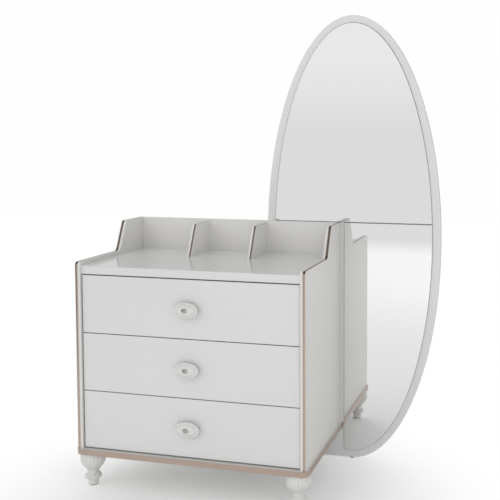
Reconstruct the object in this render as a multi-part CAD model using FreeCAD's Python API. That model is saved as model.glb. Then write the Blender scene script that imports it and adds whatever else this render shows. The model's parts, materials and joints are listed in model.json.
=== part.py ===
import FreeCAD, Part
import math
import os

# Dresser with three drawers, a gallery shelf and a tall oval mirror board
# behind its right-hand end.  Millimetres, +Z up, the front faces -Y.
# Pieces are modelled from the middle of the case at the floor, and are moved
# on export so that the origin is the bottom centre of the whole object.

V = FreeCAD.Vector
UP = V(0, 0, 1)
BACKWARD = V(0, 1, 0)

# --- Driving dimensions: case ------------------------------------------------
CASE_WIDTH = 860.0          # over the side panels
CASE_DEPTH = 520.0          # front to rear edge of the side panels
SIDE_THICK = 20.0
ARM_HEIGHT = 827.0          # top of the side panels beside the top panel
GALLERY_HEIGHT = 940.0      # top of the gallery
RISER_FOOT = 302.0          # where the leaning riser leaves the arm
RISER_TOP = 358.0           # where the riser meets the gallery's top
ARM_FRONT_RADIUS = 11.0
RISER_FOOT_RADIUS = 20.0
RISER_TOP_RADIUS = 13.0

INLAY_DEPTH = 2.0           # metal strip let into the side panel's edge
INLAY_WIDTH = 9.5
INLAY_MARGIN = 1.0          # white edge left outside the strip

TOP_THICK = 30.0
TOP_UNDER_ARM = 14.0        # the arms stand this much above the top panel
TOP_EDGE_RADIUS = 3.0
FRONT_RECESS = 9.0          # drawer fronts lie behind the side edges

SLAB_THICK = 20.0
SLAB_OVERHANG = 8.0         # past the front and both sides, band included
SLAB_CORNER_RADIUS = 26.0
BAND_THICK = 2.0            # metal-look edging round the slab

BACK_THICK = 5.0
BACK_GROOVE = 6.0           # how deep the back panel sits in its grooves
BACK_SETBACK = 20.0         # rear edge of the case to the back panel
GROOVE_CLEARANCE = 0.15

GALLERY_THICK = 16.0
DIVIDER_THICK = 16.0
DIVIDER_SPAN = 246.0        # between the middles of the two dividers
DIVIDER_DROP = 8.0          # dividers end below the gallery's top
DIVIDER_SETBACK = 8.0       # and behind the line of the risers
DIVIDER_INLAY_WIDTH = 7.0
DIVIDER_INLAY_MARGIN = 1.0

# --- Driving dimensions: feet ------------------------------------------------
FOOT_HEIGHT = 124.0         # floor to the slab's underside, glide included
FOOT_MARGIN = 0.5           # slab's front and side edges to the bulb
FOOT_BULB_RADIUS = 45.5
FOOT_BULB_DROP = 25.0       # slab's underside to the bulb's widest place
FOOT_TOP_RADIUS = 41.0
FOOT_WAIST_RADIUS = 25.5    # where the bulb's curve runs into its bead
FOOT_WAIST_DROP = 59.0
FOOT_NECK_RADIUS = 20.5
FOOT_BEAD_RADIUS = 25.0
FOOT_BEAD_HEIGHT = 5.0
FOOT_COLLAR_RADIUS = 30.5
FOOT_TIP_RADIUS = 18.5
FOOT_TIP_HEIGHT = 24.0      # floor to the collar's underside
FOOT_COLLAR_HEIGHT = 23.0
FOOT_COLLAR_RISE = 9.5      # the collar's underside to its rim
FOOT_COLLAR_EDGE = 2.5
FOOT_NECK_HEIGHT = 10.0     # collar to the bead
FOOT_CHAMFER = 1.0
POST_INSET_SIDE = 108.0     # slab's side edge to a rear post's axis
POST_INSET_REAR = 50.0
POST_TOP_RADIUS = 25.0
POST_TIP_RADIUS = 20.0
GLIDE_THICK = 3.0
GLIDE_RADIUS = 14.0
FOOT_BOLT_RADIUS = 4.0
FOOT_BOLT_IN_FOOT = 40.0
INSERT_RADIUS = 6.0
INSERT_DEPTH = 15.0

# --- Driving dimensions: drawers --------------------------------------------
DRAWERS = ("lower", "centre", "upper")
FRONT_THICK = 18.0
FRONT_SIDE_GAP = 3.5
FRONT_GAP = 3.0             # between two fronts
FRONT_TOP_GAP = 3.5
FRONT_BOTTOM_GAP = 5.0
FRONT_EDGE_RADIUS = 1.0
BOX_BOARD = 15.0
BOX_REAR_GAP = 18.0         # drawer box to the back panel
BOX_HEIGHT = 150.0
BOX_RISE = 24.0             # lower edge of the front to the box
BOX_BACK_DROP = 20.0        # the box's back is lower than its sides
BOTTOM_THICK = 5.0
BOTTOM_RISE = 14.0
BOTTOM_GROOVE = 7.0

# --- Driving dimensions: runners --------------------------------------------
RUNNER_SPACE = 13.0         # side panel to drawer box
RUNNER_SETBACK = 2.0        # behind the drawer front
RUNNER_RISE = 60.0          # box's lower edge to the runner's middle
STEEL = 1.2
CASE_RAIL_HEIGHT = 45.0
CASE_RAIL_FLANGE = 11.0
BALL_GAP = 2.3              # between two nested rails
CAGE_CLEARANCE = 0.3
WEB_CLEARANCE = 0.8         # case rail's web to the middle rail's web
MIDDLE_RAIL_FLANGE = 8.8
DRAWER_RAIL_FLANGE = 8.5
CAGE_LENGTH = 220.0
CAGE_WIDTH = 5.5
RAIL_END_STEP = 8.0
RAIL_SCREWS = (36.0, 215.0, 395.0)

# --- Driving dimensions: knobs ----------------------------------------------
KNOB_WIDTH = 94.0
KNOB_HEIGHT = 56.0
KNOB_STEM_REACH = 13.0      # drawer front to the head's underside
KNOB_STEM_RADIUS = 16.0
KNOB_ROSE_RADIUS = 23.0
KNOB_ROSE_THICK = 3.0
KNOB_RIM_THICK = 4.0
KNOB_UNDERCUT = 6.0         # the flat underside ends this far from the rim
KNOB_UNDERCUT_RISE = 3.0
KNOB_SHOULDER = 12.0        # rim to the foot of the dome
KNOB_SHOULDER_RISE = 2.5
KNOB_DOME_RISE = 7.5
BOSS_WIDTH = 21.0
BOSS_HEIGHT = 16.0
BOSS_THICK = 5.0
BOSS_SEAT = 3.0             # how deep the boss sits in the dome
BOSS_CROWN = 1.0

# --- Driving dimensions: mirror ---------------------------------------------
MIRROR_BOARD_THICK = 18.0
MIRROR_HALF_WIDTH = 346.0
MIRROR_HALF_HEIGHT = 868.0
MIRROR_OFFSET = 473.0       # middle of the case to the oval's middle
MIRROR_EDGE_RADIUS = 3.0
MIRROR_FLOOR_GAP = 4.0      # height of the glides under the board
MIRROR_GLIDE_RADIUS = 7.0
MIRROR_GLIDE_INSET = 24.0   # board's square side to the first glide
MIRROR_SCREW_INSET = 40.0   # and to the first screw into the gallery
MIRROR_SCREW_END = 70.0     # last of those screws to the case's inside
GLASS_THICK = 4.0
GLASS_BORDER_SIDE = 32.0
GLASS_BORDER_END = 29.0
GLASS_CLEAR_OF_CASE = 12.0  # side panel to the lower glass
GLASS_SEAM = 2.0
SEAM_ABOVE_GALLERY = -1.0   # lower glass against the gallery's top

# --- Driving dimensions: fittings -------------------------------------------
DOWEL_RADIUS = 4.0
DOWEL_LENGTH = 30.0
DOWEL_IN_SIDE = 11.0
CAM_RADIUS = 7.5
CAM_DEPTH = 12.5
CAM_SETBACK = 24.0          # joint to the middle of the cam
CAM_BOLT_RADIUS = 3.0
CAM_BOLT_HOLD = 10.0
CAM_BELOW_GALLERY = 50.8    # gallery's top to the cams at its ends
SCREW_RADIUS = 1.75
SCREW_HEAD_RADIUS = 3.6
RAIL_SCREW_LENGTH = 12.0
BOARD_SCREW_RADIUS = 2.0
BOARD_SCREW_HEAD = 4.2
BOARD_SCREW_LENGTH = 32.0
KNOB_SCREW_RADIUS = 2.0
KNOB_SCREW_HEAD = 4.0
KNOB_SCREW_HEAD_THICK = 2.5
KNOB_SCREW_GRIP = 20.0

# --- Places that follow from them --------------------------------------------
HALF_WIDTH = CASE_WIDTH / 2
INSIDE = HALF_WIDTH - SIDE_THICK
SLAB_BASE = FOOT_HEIGHT
SLAB_TOP = SLAB_BASE + SLAB_THICK
TOP_SURFACE = ARM_HEIGHT - TOP_UNDER_ARM
TOP_BASE = TOP_SURFACE - TOP_THICK
GALLERY_FRONT = CASE_DEPTH - GALLERY_THICK
BACK_REAR = CASE_DEPTH - BACK_SETBACK
BACK_FRONT = BACK_REAR - BACK_THICK
FRONT_BACK = FRONT_RECESS + FRONT_THICK
OPENING = TOP_BASE - SLAB_TOP
FRONT_HEIGHT = (OPENING - FRONT_TOP_GAP - FRONT_BOTTOM_GAP
                - FRONT_GAP * (len(DRAWERS) - 1)) / len(DRAWERS)
BOX_HALF = INSIDE - RUNNER_SPACE
BOX_REAR = BACK_FRONT - BOX_REAR_GAP
RUNNER_LENGTH = BOX_REAR - FRONT_BACK
RUNNER_FRONT = FRONT_BACK + RUNNER_SETBACK
MIRROR_CENTRE_HEIGHT = MIRROR_FLOOR_GAP + MIRROR_HALF_HEIGHT
MIRROR_REAR = CASE_DEPTH + MIRROR_BOARD_THICK
BOARD_LEFT = MIRROR_OFFSET - MIRROR_HALF_WIDTH
BOARD_RIGHT = MIRROR_OFFSET + MIRROR_HALF_WIDTH
KNOB_RIM_BASE = KNOB_STEM_REACH + KNOB_UNDERCUT_RISE
KNOB_DOME_BASE = KNOB_RIM_BASE + KNOB_RIM_THICK + KNOB_SHOULDER_RISE
KNOB_REACH = KNOB_DOME_BASE + KNOB_DOME_RISE
KNOB_TIP = KNOB_REACH + BOSS_THICK - BOSS_SEAT
ORIGIN = V((BOARD_RIGHT - HALF_WIDTH - SLAB_OVERHANG) / 2,
           (MIRROR_REAR + FRONT_RECESS - KNOB_TIP) / 2, 0)


# --- Helpers -------------------------------------------------------------------
def block(x0, x1, y0, y1, z0, z1):
    """A box between two corners, given in any order along X."""
    low = min(x0, x1)
    return Part.makeBox(abs(x1 - x0), y1 - y0, z1 - z0, V(low, y0, z0))


def rod(start, direction, radius, length):
    """A round bar from a point along a direction."""
    return Part.makeCylinder(radius, length, start, direction)


def drilled(panel, tools):
    """The panel with the seats of every fitting that reaches it."""
    near = [t for t in tools if t.BoundBox.intersect(panel.BoundBox)]
    return panel.cut(near) if near else panel


def countersunk(start, direction, radius, head, length):
    """A screw whose cone head is flush with the face at its start."""
    depth = head - radius
    cone = Part.makeCone(head, radius, depth, start, direction)
    return cone.fuse(rod(start, direction, radius, length)).removeSplitter()


def tangent_corner(before, corner, after, radius):
    """The two ends and the middle of an arc that rounds a corner."""
    back = (before - corner).normalize()
    ahead = (after - corner).normalize()
    half = back.getAngle(ahead) / 2
    run = radius / math.tan(half)
    first = corner + back * run
    last = corner + ahead * run
    inward = (back + ahead).normalize()
    middle = corner + inward * (radius / math.sin(half) - radius)
    return first, middle, last


def rounded_face(corners):
    """A flat face through corners (point, radius), rounded at each radius."""
    edges = []
    count = len(corners)
    stops = []
    for i, (point, radius) in enumerate(corners):
        if radius > 0:
            before = corners[i - 1][0]
            after = corners[(i + 1) % count][0]
            stops.append(tangent_corner(before, point, after, radius))
        else:
            stops.append((point, None, point))
    for i, (first, middle, last) in enumerate(stops):
        if middle is not None:
            edges.append(Part.Arc(first, middle, last).toShape())
        following = stops[(i + 1) % count][0]
        edges.append(Part.LineSegment(last, following).toShape())
    return Part.Face(Part.Wire(edges))


def inset_chain(chain, distance):
    """Moves an open chain of (a, b, radius) to its right by a distance."""
    steps = []
    for (a0, b0, _), (a1, b1, _) in zip(chain, chain[1:]):
        length = math.hypot(a1 - a0, b1 - b0)
        steps.append(((a1 - a0) / length, (b1 - b0) / length))
    moved = []
    for i, (a, b, radius) in enumerate(chain):
        before = steps[max(i - 1, 0)]
        after = steps[min(i, len(steps) - 1)]
        turn = before[0] * after[1] - before[1] * after[0]
        along = before[0] * after[0] + before[1] * after[1]
        bend = distance * turn / (1 + along)
        spot_a = a + distance * before[1] + bend * before[0]
        spot_b = b - distance * before[0] + bend * before[1]
        if radius > 0:
            radius += distance if turn > 0 else -distance
        moved.append((spot_a, spot_b, radius))
    return moved


def revolved(outline, axis):
    """A solid turned about an axis through the origin from edges that
    close an outline."""
    wire = Part.Wire(Part.__sortEdges__(outline))
    return Part.Face(wire).revolve(V(0, 0, 0), axis, 360)


def eased_arc(tip, end, heading):
    """An arc that leaves its tip along a heading and runs to its end."""
    chord = (end - tip).normalize()
    halfway = (heading + chord).normalize()
    reach = (end - tip).Length / (2 * halfway.dot(chord))
    return arc(tip, tip + halfway * reach, end)


def line(start, end):
    return Part.LineSegment(start, end).toShape()


def arc(start, middle, end):
    return Part.Arc(start, middle, end).toShape()


def save(name, solids):
    """Writes one node, moved so that the origin is the object's own."""
    for solid in solids:
        if not solid.isValid() or solid.Volume <= 0:
            raise ValueError("bad solid in " + name)
    shape = solids[0] if len(solids) == 1 else Part.makeCompound(solids)
    shape = shape.copy()
    shape.translate(-ORIGIN)
    shape.exportStep("parts/" + name + ".step")


# --- Side panels, dividers and their inlays --------------------------------------
def panel_outline(front, foot, top, rear, base, arm, crest, inset=0.0):
    """Corners (y, z, radius) of a panel's front, arm, riser and top."""
    chain = [(front, base, 0), (front, arm, ARM_FRONT_RADIUS),
             (foot, arm, RISER_FOOT_RADIUS),
             (top, crest, RISER_TOP_RADIUS), (rear, crest, 0)]
    return inset_chain(chain, inset)


def edge_panel(outline, x, thick):
    """The plate that an outline's chain makes with its base and rear."""
    rear = outline[-1][0]
    base = outline[0][1]
    corners = [(V(x, y, z), radius) for y, z, radius in outline]
    corners.append((V(x, rear, base), 0))
    return rounded_face(corners).extrude(V(thick, 0, 0))


def side_outline(inset=0.0):
    return panel_outline(0, RISER_FOOT, RISER_TOP, CASE_DEPTH, SLAB_TOP,
                         ARM_HEIGHT, GALLERY_HEIGHT, inset)


def divider_outline(inset=0.0):
    """Dividers repeat the riser's lean, from the top panel to their crest."""
    crest = GALLERY_HEIGHT - DIVIDER_DROP
    lean = (RISER_TOP - RISER_FOOT) / (GALLERY_HEIGHT - ARM_HEIGHT)
    top = RISER_TOP + DIVIDER_SETBACK
    foot = top - lean * (crest - TOP_SURFACE)
    chain = [(foot, TOP_SURFACE, 0), (top, crest, RISER_TOP_RADIUS),
             (GALLERY_FRONT, crest, 0)]
    return inset_chain(chain, inset)


def flush_ends(outline, inner):
    """Gives an inset chain the first and last stops of its parent."""
    fixed = list(inner)
    (y0, z0, _), (y1, z1, _) = fixed[0], fixed[1]
    base = outline[0][1]
    share = (base - z0) / (z1 - z0)
    fixed[0] = (y0 + (y1 - y0) * share, base, 0)
    fixed[-1] = (outline[-1][0], fixed[-1][1], 0)
    return fixed


def inlaid_panel(outline, inner, x, thick, strip_x, strip_width):
    """A panel and the metal strip that is let into its edge."""
    inner = flush_ends(outline, inner)
    strip = edge_panel(outline, strip_x, strip_width).cut(
        edge_panel(inner, strip_x, strip_width))
    panel = edge_panel(outline, x, thick).cut(strip)
    return panel, strip.Solids[0]


def side(hand):
    """Side panel and inlay; hand is -1 for the left, 1 for the right."""
    outer = hand * HALF_WIDTH
    x = min(outer, hand * INSIDE)
    near = outer - hand * INLAY_MARGIN
    strip_x = min(near, near - hand * INLAY_WIDTH)
    panel, strip = inlaid_panel(side_outline(), side_outline(INLAY_DEPTH),
                                x, SIDE_THICK, strip_x, INLAY_WIDTH)
    slot = block(hand * (INSIDE - 1), hand * (INSIDE + BACK_GROOVE),
                 BACK_FRONT - GROOVE_CLEARANCE, BACK_REAR + GROOVE_CLEARANCE,
                 SLAB_TOP, TOP_BASE + BACK_GROOVE + GROOVE_CLEARANCE)
    return panel.cut(slot), strip


def divider(hand):
    """Gallery divider and its inlay, the strip nearer its right face."""
    middle = hand * DIVIDER_SPAN / 2
    x = middle - DIVIDER_THICK / 2
    right = middle + DIVIDER_THICK / 2
    strip_x = right - DIVIDER_INLAY_MARGIN - DIVIDER_INLAY_WIDTH
    return inlaid_panel(divider_outline(), divider_outline(INLAY_DEPTH),
                        x, DIVIDER_THICK, strip_x, DIVIDER_INLAY_WIDTH)


# --- Flat pieces of the case -----------------------------------------------------
def back_slot():
    """The space of the back panel with its running clearance."""
    wide = INSIDE + BACK_GROOVE + GROOVE_CLEARANCE
    return block(-wide, wide, BACK_FRONT - GROOVE_CLEARANCE,
                 BACK_REAR + GROOVE_CLEARANCE,
                 SLAB_TOP - BACK_GROOVE - GROOVE_CLEARANCE,
                 TOP_BASE + BACK_GROOVE + GROOVE_CLEARANCE)


def top_panel():
    plate = block(-INSIDE, INSIDE, FRONT_RECESS, GALLERY_FRONT,
                  TOP_BASE, TOP_SURFACE)
    front = [e for e in plate.Edges
             if abs(e.BoundBox.YMax - FRONT_RECESS) < 0.01
             and e.BoundBox.XLength > INSIDE]
    return plate.makeFillet(TOP_EDGE_RADIUS, front).cut(back_slot())


def slab_outline(inset=0.0):
    wide = HALF_WIDTH + SLAB_OVERHANG
    chain = [(wide, CASE_DEPTH, 0), (wide, -SLAB_OVERHANG, SLAB_CORNER_RADIUS),
             (-wide, -SLAB_OVERHANG, SLAB_CORNER_RADIUS),
             (-wide, CASE_DEPTH, 0)]
    return inset_chain(chain, inset)


def slab_and_band():
    """The base slab and the edging round its front and sides."""
    def plate(outline):
        corners = [(V(x, y, SLAB_BASE), r) for x, y, r in outline]
        return rounded_face(corners).extrude(UP * SLAB_THICK)
    slab = plate(slab_outline(BAND_THICK))
    band = plate(slab_outline()).cut(slab)
    return slab.cut(back_slot()), band.Solids[0]


def back_panel():
    wide = INSIDE + BACK_GROOVE
    return block(-wide, wide, BACK_FRONT, BACK_REAR,
                 SLAB_TOP - BACK_GROOVE, TOP_BASE + BACK_GROOVE)


def gallery_back():
    return block(-INSIDE, INSIDE, GALLERY_FRONT, CASE_DEPTH,
                 TOP_BASE, GALLERY_HEIGHT)


# --- Feet ----------------------------------------------------------------------
def foot_places():
    """Where the turned feet stand at the front and the posts at the rear."""
    edge = HALF_WIDTH + SLAB_OVERHANG
    inset = FOOT_MARGIN + FOOT_BULB_RADIUS
    front = inset - SLAB_OVERHANG
    rear = CASE_DEPTH - POST_INSET_REAR
    wide = edge - inset
    post = edge - POST_INSET_SIDE
    return {"front_left": V(-wide, front, 0), "front_right": V(wide, front, 0),
            "rear_left": V(-post, rear, 0), "rear_right": V(post, rear, 0)}


def foot():
    """A turned foot: bulb, bead, neck, collar and tip."""
    collar_top = FOOT_TIP_HEIGHT + FOOT_COLLAR_HEIGHT
    bead_base = collar_top + FOOT_NECK_HEIGHT
    bead_top = bead_base + FOOT_BEAD_HEIGHT
    bead_edge = (FOOT_NECK_RADIUS + FOOT_BEAD_RADIUS) / 2
    neck = FOOT_NECK_RADIUS
    tip = FOOT_TIP_RADIUS

    def at(radius, height):
        return V(radius, 0, height)
    waist = at(FOOT_WAIST_RADIUS, FOOT_HEIGHT - FOOT_WAIST_DROP)
    widest = at(FOOT_BULB_RADIUS, FOOT_HEIGHT - FOOT_BULB_DROP)
    collar = at(FOOT_COLLAR_RADIUS, FOOT_TIP_HEIGHT + FOOT_COLLAR_RISE)
    rim = collar + UP * FOOT_COLLAR_EDGE
    outline = [
        line(at(0, GLIDE_THICK), at(tip - FOOT_CHAMFER, GLIDE_THICK)),
        line(at(tip - FOOT_CHAMFER, GLIDE_THICK),
             at(tip, GLIDE_THICK + FOOT_CHAMFER)),
        line(at(tip, GLIDE_THICK + FOOT_CHAMFER), at(tip, FOOT_TIP_HEIGHT)),
        eased_arc(collar, at(tip, FOOT_TIP_HEIGHT), -UP),
        line(collar, rim),
        line(rim, at(neck, collar_top)),
        line(at(neck, collar_top), at(neck, bead_base)),
        arc(at(neck, bead_base),
            at(FOOT_BEAD_RADIUS, (bead_base + bead_top) / 2),
            at(bead_edge, bead_top)),
        line(at(bead_edge, bead_top), waist),
        eased_arc(widest, waist, -UP),
        eased_arc(widest, at(FOOT_TOP_RADIUS, FOOT_HEIGHT), UP),
        line(at(FOOT_TOP_RADIUS, FOOT_HEIGHT), at(0, FOOT_HEIGHT)),
        line(at(0, FOOT_HEIGHT), at(0, GLIDE_THICK))]
    return revolved(outline, UP)


def post():
    """A plain tapered foot for the rear, out of sight under the case."""
    return Part.makeCone(POST_TIP_RADIUS, POST_TOP_RADIUS,
                         FOOT_HEIGHT - GLIDE_THICK, V(0, 0, GLIDE_THICK), UP)


def foot_bolt(place):
    """The bolt that joins a foot to the insert in the slab."""
    return rod(place + UP * (FOOT_HEIGHT - FOOT_BOLT_IN_FOOT), UP,
               FOOT_BOLT_RADIUS, FOOT_BOLT_IN_FOOT + INSERT_DEPTH)


def foot_insert(place):
    sleeve = rod(place + UP * SLAB_BASE, UP, INSERT_RADIUS, INSERT_DEPTH)
    return sleeve.cut(foot_bolt(place))


def floor_glides():
    discs = [rod(place, UP, GLIDE_RADIUS, GLIDE_THICK)
             for place in foot_places().values()]
    middle = (CASE_DEPTH + MIRROR_REAR) / 2
    for x in (BOARD_LEFT + MIRROR_GLIDE_INSET, MIRROR_OFFSET):
        discs.append(rod(V(x, middle, 0), UP,
                         MIRROR_GLIDE_RADIUS, MIRROR_FLOOR_GAP))
    return discs


# --- Fittings of the case --------------------------------------------------------
def top_joints():
    """Depths of the fittings that hold the top panel."""
    deep = GALLERY_FRONT - FRONT_RECESS
    dowels = [FRONT_RECESS + deep * share for share in (0.1, 0.9)]
    cams = [FRONT_RECESS + deep * share for share in (0.2, 0.8)]
    return dowels, cams


def case_dowels():
    pegs = []
    dowel_depths, _ = top_joints()
    middle = (TOP_BASE + TOP_SURFACE) / 2
    gallery_middle = (GALLERY_FRONT + CASE_DEPTH) / 2
    in_slab = SLAB_THICK * 0.6
    for hand in (-1, 1):
        outer = V(hand * (INSIDE + DOWEL_IN_SIDE), 0, 0)
        inward = V(-hand, 0, 0)
        for y in dowel_depths:
            pegs.append(rod(outer + V(0, y, middle), inward,
                            DOWEL_RADIUS, DOWEL_LENGTH))
            foot_x = hand * (INSIDE + SIDE_THICK / 2)
            pegs.append(rod(V(foot_x, y, SLAB_TOP - in_slab), UP,
                            DOWEL_RADIUS, DOWEL_LENGTH))
        for share in (0.3, 0.85):
            z = TOP_SURFACE + (GALLERY_HEIGHT - TOP_SURFACE) * share
            pegs.append(rod(outer + V(0, gallery_middle, z), inward,
                            DOWEL_RADIUS, DOWEL_LENGTH))
        for y in (RISER_TOP + 4 * DOWEL_RADIUS, GALLERY_FRONT - 40):
            pegs.append(rod(V(hand * DIVIDER_SPAN / 2, y,
                              TOP_SURFACE - TOP_THICK * 0.4), UP,
                            DOWEL_RADIUS, DOWEL_LENGTH))
    for x in (-INSIDE * 0.6, 0, INSIDE * 0.6):
        start = V(x, CASE_DEPTH - GALLERY_THICK * 0.4, middle)
        pegs.append(rod(start, -BACKWARD, DOWEL_RADIUS, DOWEL_LENGTH))
    return pegs


def cam_pair(face, inward, joint, along):
    """A cam disc let into a face, and the bolt that it draws across a joint.

    face is the disc's centre on the face, inward its axis into the board,
    joint the unit vector from the disc's centre to the joint."""
    disc = rod(face, inward, CAM_RADIUS, CAM_DEPTH)
    centre = face + inward * along
    bolt = rod(centre, joint, CAM_BOLT_RADIUS, CAM_SETBACK + CAM_BOLT_HOLD)
    return disc.cut(bolt), bolt


def case_cams():
    """Cam discs and bolts of the top panel, the sides and the gallery."""
    pairs = []
    _, depths = top_joints()
    down = V(0, 0, -1)
    for hand in (-1, 1):
        out = V(hand, 0, 0)
        disc_x = hand * (INSIDE - CAM_SETBACK)
        for y in depths:
            pairs.append(cam_pair(V(disc_x, y, TOP_BASE), UP, out,
                                  CAM_DEPTH / 2 + CAM_BOLT_RADIUS))
            pairs.append(cam_pair(V(hand * INSIDE, y, SLAB_TOP + CAM_SETBACK),
                                  out, down, SIDE_THICK / 2))
        high = GALLERY_HEIGHT - CAM_BELOW_GALLERY
        pairs.append(cam_pair(V(disc_x, CASE_DEPTH, high), -BACKWARD, out,
                              GALLERY_THICK / 2))
    return [disc for disc, _ in pairs], [bolt for _, bolt in pairs]


# --- Mirror --------------------------------------------------------------------
def oval_edge(half_width, half_height, first, last, y):
    """Part of an upright ellipse; the angle is 0 at its top and a quarter
    turn at its right."""
    centre = V(MIRROR_OFFSET, y, MIRROR_CENTRE_HEIGHT)
    oval = Part.Ellipse(centre + UP * half_height,
                        centre + V(half_width, 0, 0), centre)
    return Part.Arc(oval, first, last).toShape()


def mirror_board():
    """Oval board whose lower left quarter is square, to stand on."""
    quarter = math.pi / 2
    y = CASE_DEPTH
    sweep = oval_edge(MIRROR_HALF_WIDTH, MIRROR_HALF_HEIGHT,
                      3 * quarter, 6 * quarter, y)
    low_left = V(BOARD_LEFT, y, MIRROR_FLOOR_GAP)
    side_top = V(BOARD_LEFT, y, MIRROR_CENTRE_HEIGHT)
    low_middle = V(MIRROR_OFFSET, y, MIRROR_FLOOR_GAP)
    outline = Part.Wire(Part.__sortEdges__(
        [sweep, line(low_middle, low_left), line(low_left, side_top)]))
    board = Part.Face(outline).extrude(BACKWARD * MIRROR_BOARD_THICK)
    rim = [e for e in board.Edges
           if e.BoundBox.YLength < 0.01
           and abs(e.BoundBox.YMin - MIRROR_REAR) < 0.01]
    return board.makeFillet(MIRROR_EDGE_RADIUS, rim)


def mirror_glass():
    """Upper and lower glass, cut from one oval by a seam."""
    half_width = MIRROR_HALF_WIDTH - GLASS_BORDER_SIDE
    half_height = MIRROR_HALF_HEIGHT - GLASS_BORDER_END
    y = CASE_DEPTH - GLASS_THICK
    oval = oval_edge(half_width, half_height, 0, 2 * math.pi, y)
    plate = Part.Face(Part.Wire([oval])).extrude(BACKWARD * GLASS_THICK)
    seam = GALLERY_HEIGHT + SEAM_ABOVE_GALLERY
    box = plate.BoundBox
    upper = plate.common(block(box.XMin, box.XMax, y, CASE_DEPTH,
                               seam + GLASS_SEAM, box.ZMax))
    lower = plate.common(block(HALF_WIDTH + GLASS_CLEAR_OF_CASE, box.XMax,
                               y, CASE_DEPTH, box.ZMin, seam))
    return upper.Solids[0], lower.Solids[0]


def mirror_screws():
    """Screws through the board into the gallery and the right side panel."""
    screws = []
    high = (TOP_SURFACE + GALLERY_HEIGHT) / 2
    edge = HALF_WIDTH - SIDE_THICK / 2
    first = BOARD_LEFT + MIRROR_SCREW_INSET
    last = INSIDE - MIRROR_SCREW_END
    spots = [(first + (last - first) * share, high) for share in (0, 0.5, 1)]
    tall = TOP_BASE - SLAB_TOP
    spots += [(edge, SLAB_TOP + tall * share) for share in (0.12, 0.5, 0.88)]
    for x, z in spots:
        screws.append(countersunk(V(x, MIRROR_REAR, z), -BACKWARD,
                                  BOARD_SCREW_RADIUS, BOARD_SCREW_HEAD,
                                  BOARD_SCREW_LENGTH))
    return screws


# --- Runners -------------------------------------------------------------------
def channel(hand, web, tip, half, y0, y1, height):
    """A C rail: its web at one distance from the side, its flanges to tip."""
    inner = INSIDE - min(web, tip)
    outer = INSIDE - max(web, tip)
    body = block(hand * inner, hand * outer, y0, y1,
                 height - half, height + half)
    step = STEEL if tip > web else -STEEL
    hollow = block(hand * (INSIDE - web - step), hand * (INSIDE - tip),
                   y0, y1, height - half + STEEL, height + half - STEEL)
    return body.cut(hollow)


def rail_sizes():
    """Half heights of the case, middle and drawer rails."""
    case = CASE_RAIL_HEIGHT / 2
    middle = case - STEEL - BALL_GAP
    return case, middle, middle - STEEL - BALL_GAP


def case_rail(hand, height):
    half, _, _ = rail_sizes()
    rail = channel(hand, 0, CASE_RAIL_FLANGE, half,
                   RUNNER_FRONT, RUNNER_FRONT + RUNNER_LENGTH, height)
    return drilled(rail, case_rail_screws(hand, height))


def middle_rail(hand, height):
    """The middle rail and the four ball cages that ride on it."""
    case_half, half, drawer_half = rail_sizes()
    web = STEEL + WEB_CLEARANCE
    y0 = RUNNER_FRONT
    y1 = RUNNER_FRONT + RUNNER_LENGTH
    solids = [channel(hand, web, web + MIDDLE_RAIL_FLANGE, half,
                      y0, y1, height)]
    start = web + STEEL + 1
    for up in (-1, 1):
        faces = (half, case_half - STEEL - CAGE_CLEARANCE)
        inner = (drawer_half + CAGE_CLEARANCE, half - STEEL)
        for pair, front in ((faces, y1 - RAIL_END_STEP - CAGE_LENGTH),
                            (inner, y0 + RAIL_END_STEP)):
            low, high = sorted(height + up * edge for edge in pair)
            solids.append(block(hand * (INSIDE - start),
                                hand * (INSIDE - start - CAGE_WIDTH),
                                front, front + CAGE_LENGTH, low, high))
    return solids


def drawer_rail(hand, height):
    _, _, half = rail_sizes()
    rail = channel(hand, RUNNER_SPACE, RUNNER_SPACE - DRAWER_RAIL_FLANGE,
                   half, RUNNER_FRONT, RUNNER_FRONT + RUNNER_LENGTH, height)
    return drilled(rail, drawer_rail_screws(hand, height))


def case_rail_screws(hand, height):
    return [countersunk(V(hand * (INSIDE - STEEL), RUNNER_FRONT + y, height),
                        V(hand, 0, 0), SCREW_RADIUS, SCREW_HEAD_RADIUS,
                        RAIL_SCREW_LENGTH) for y in RAIL_SCREWS]


def drawer_rail_screws(hand, height):
    x = hand * (INSIDE - RUNNER_SPACE + STEEL)
    return [countersunk(V(x, RUNNER_FRONT + y, height), V(-hand, 0, 0),
                        SCREW_RADIUS, SCREW_HEAD_RADIUS, RAIL_SCREW_LENGTH)
            for y in RAIL_SCREWS]


# --- Drawers -------------------------------------------------------------------
def knob_edge(radius, reach):
    """A point of a knob's outline, out from the drawer front."""
    return V(radius, FRONT_RECESS - reach, 0)


def squashed(outline, share, height):
    """Turns an outline, presses it into an oval and lifts it to a height."""
    press = FreeCAD.Matrix()
    press.scale(V(1, 1, share))
    oval = revolved(outline, BACKWARD).transformGeometry(press)
    oval.translate(UP * height)
    return oval


def boss_outline():
    radius = BOSS_WIDTH / 2
    base = KNOB_REACH - BOSS_SEAT
    top = base + BOSS_THICK
    e = knob_edge
    return [line(e(0, base), e(radius, base)),
            line(e(radius, base), e(radius, top - BOSS_CROWN)),
            eased_arc(e(0, top), e(radius, top - BOSS_CROWN), V(1, 0, 0)),
            line(e(0, top), e(0, base))]


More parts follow.
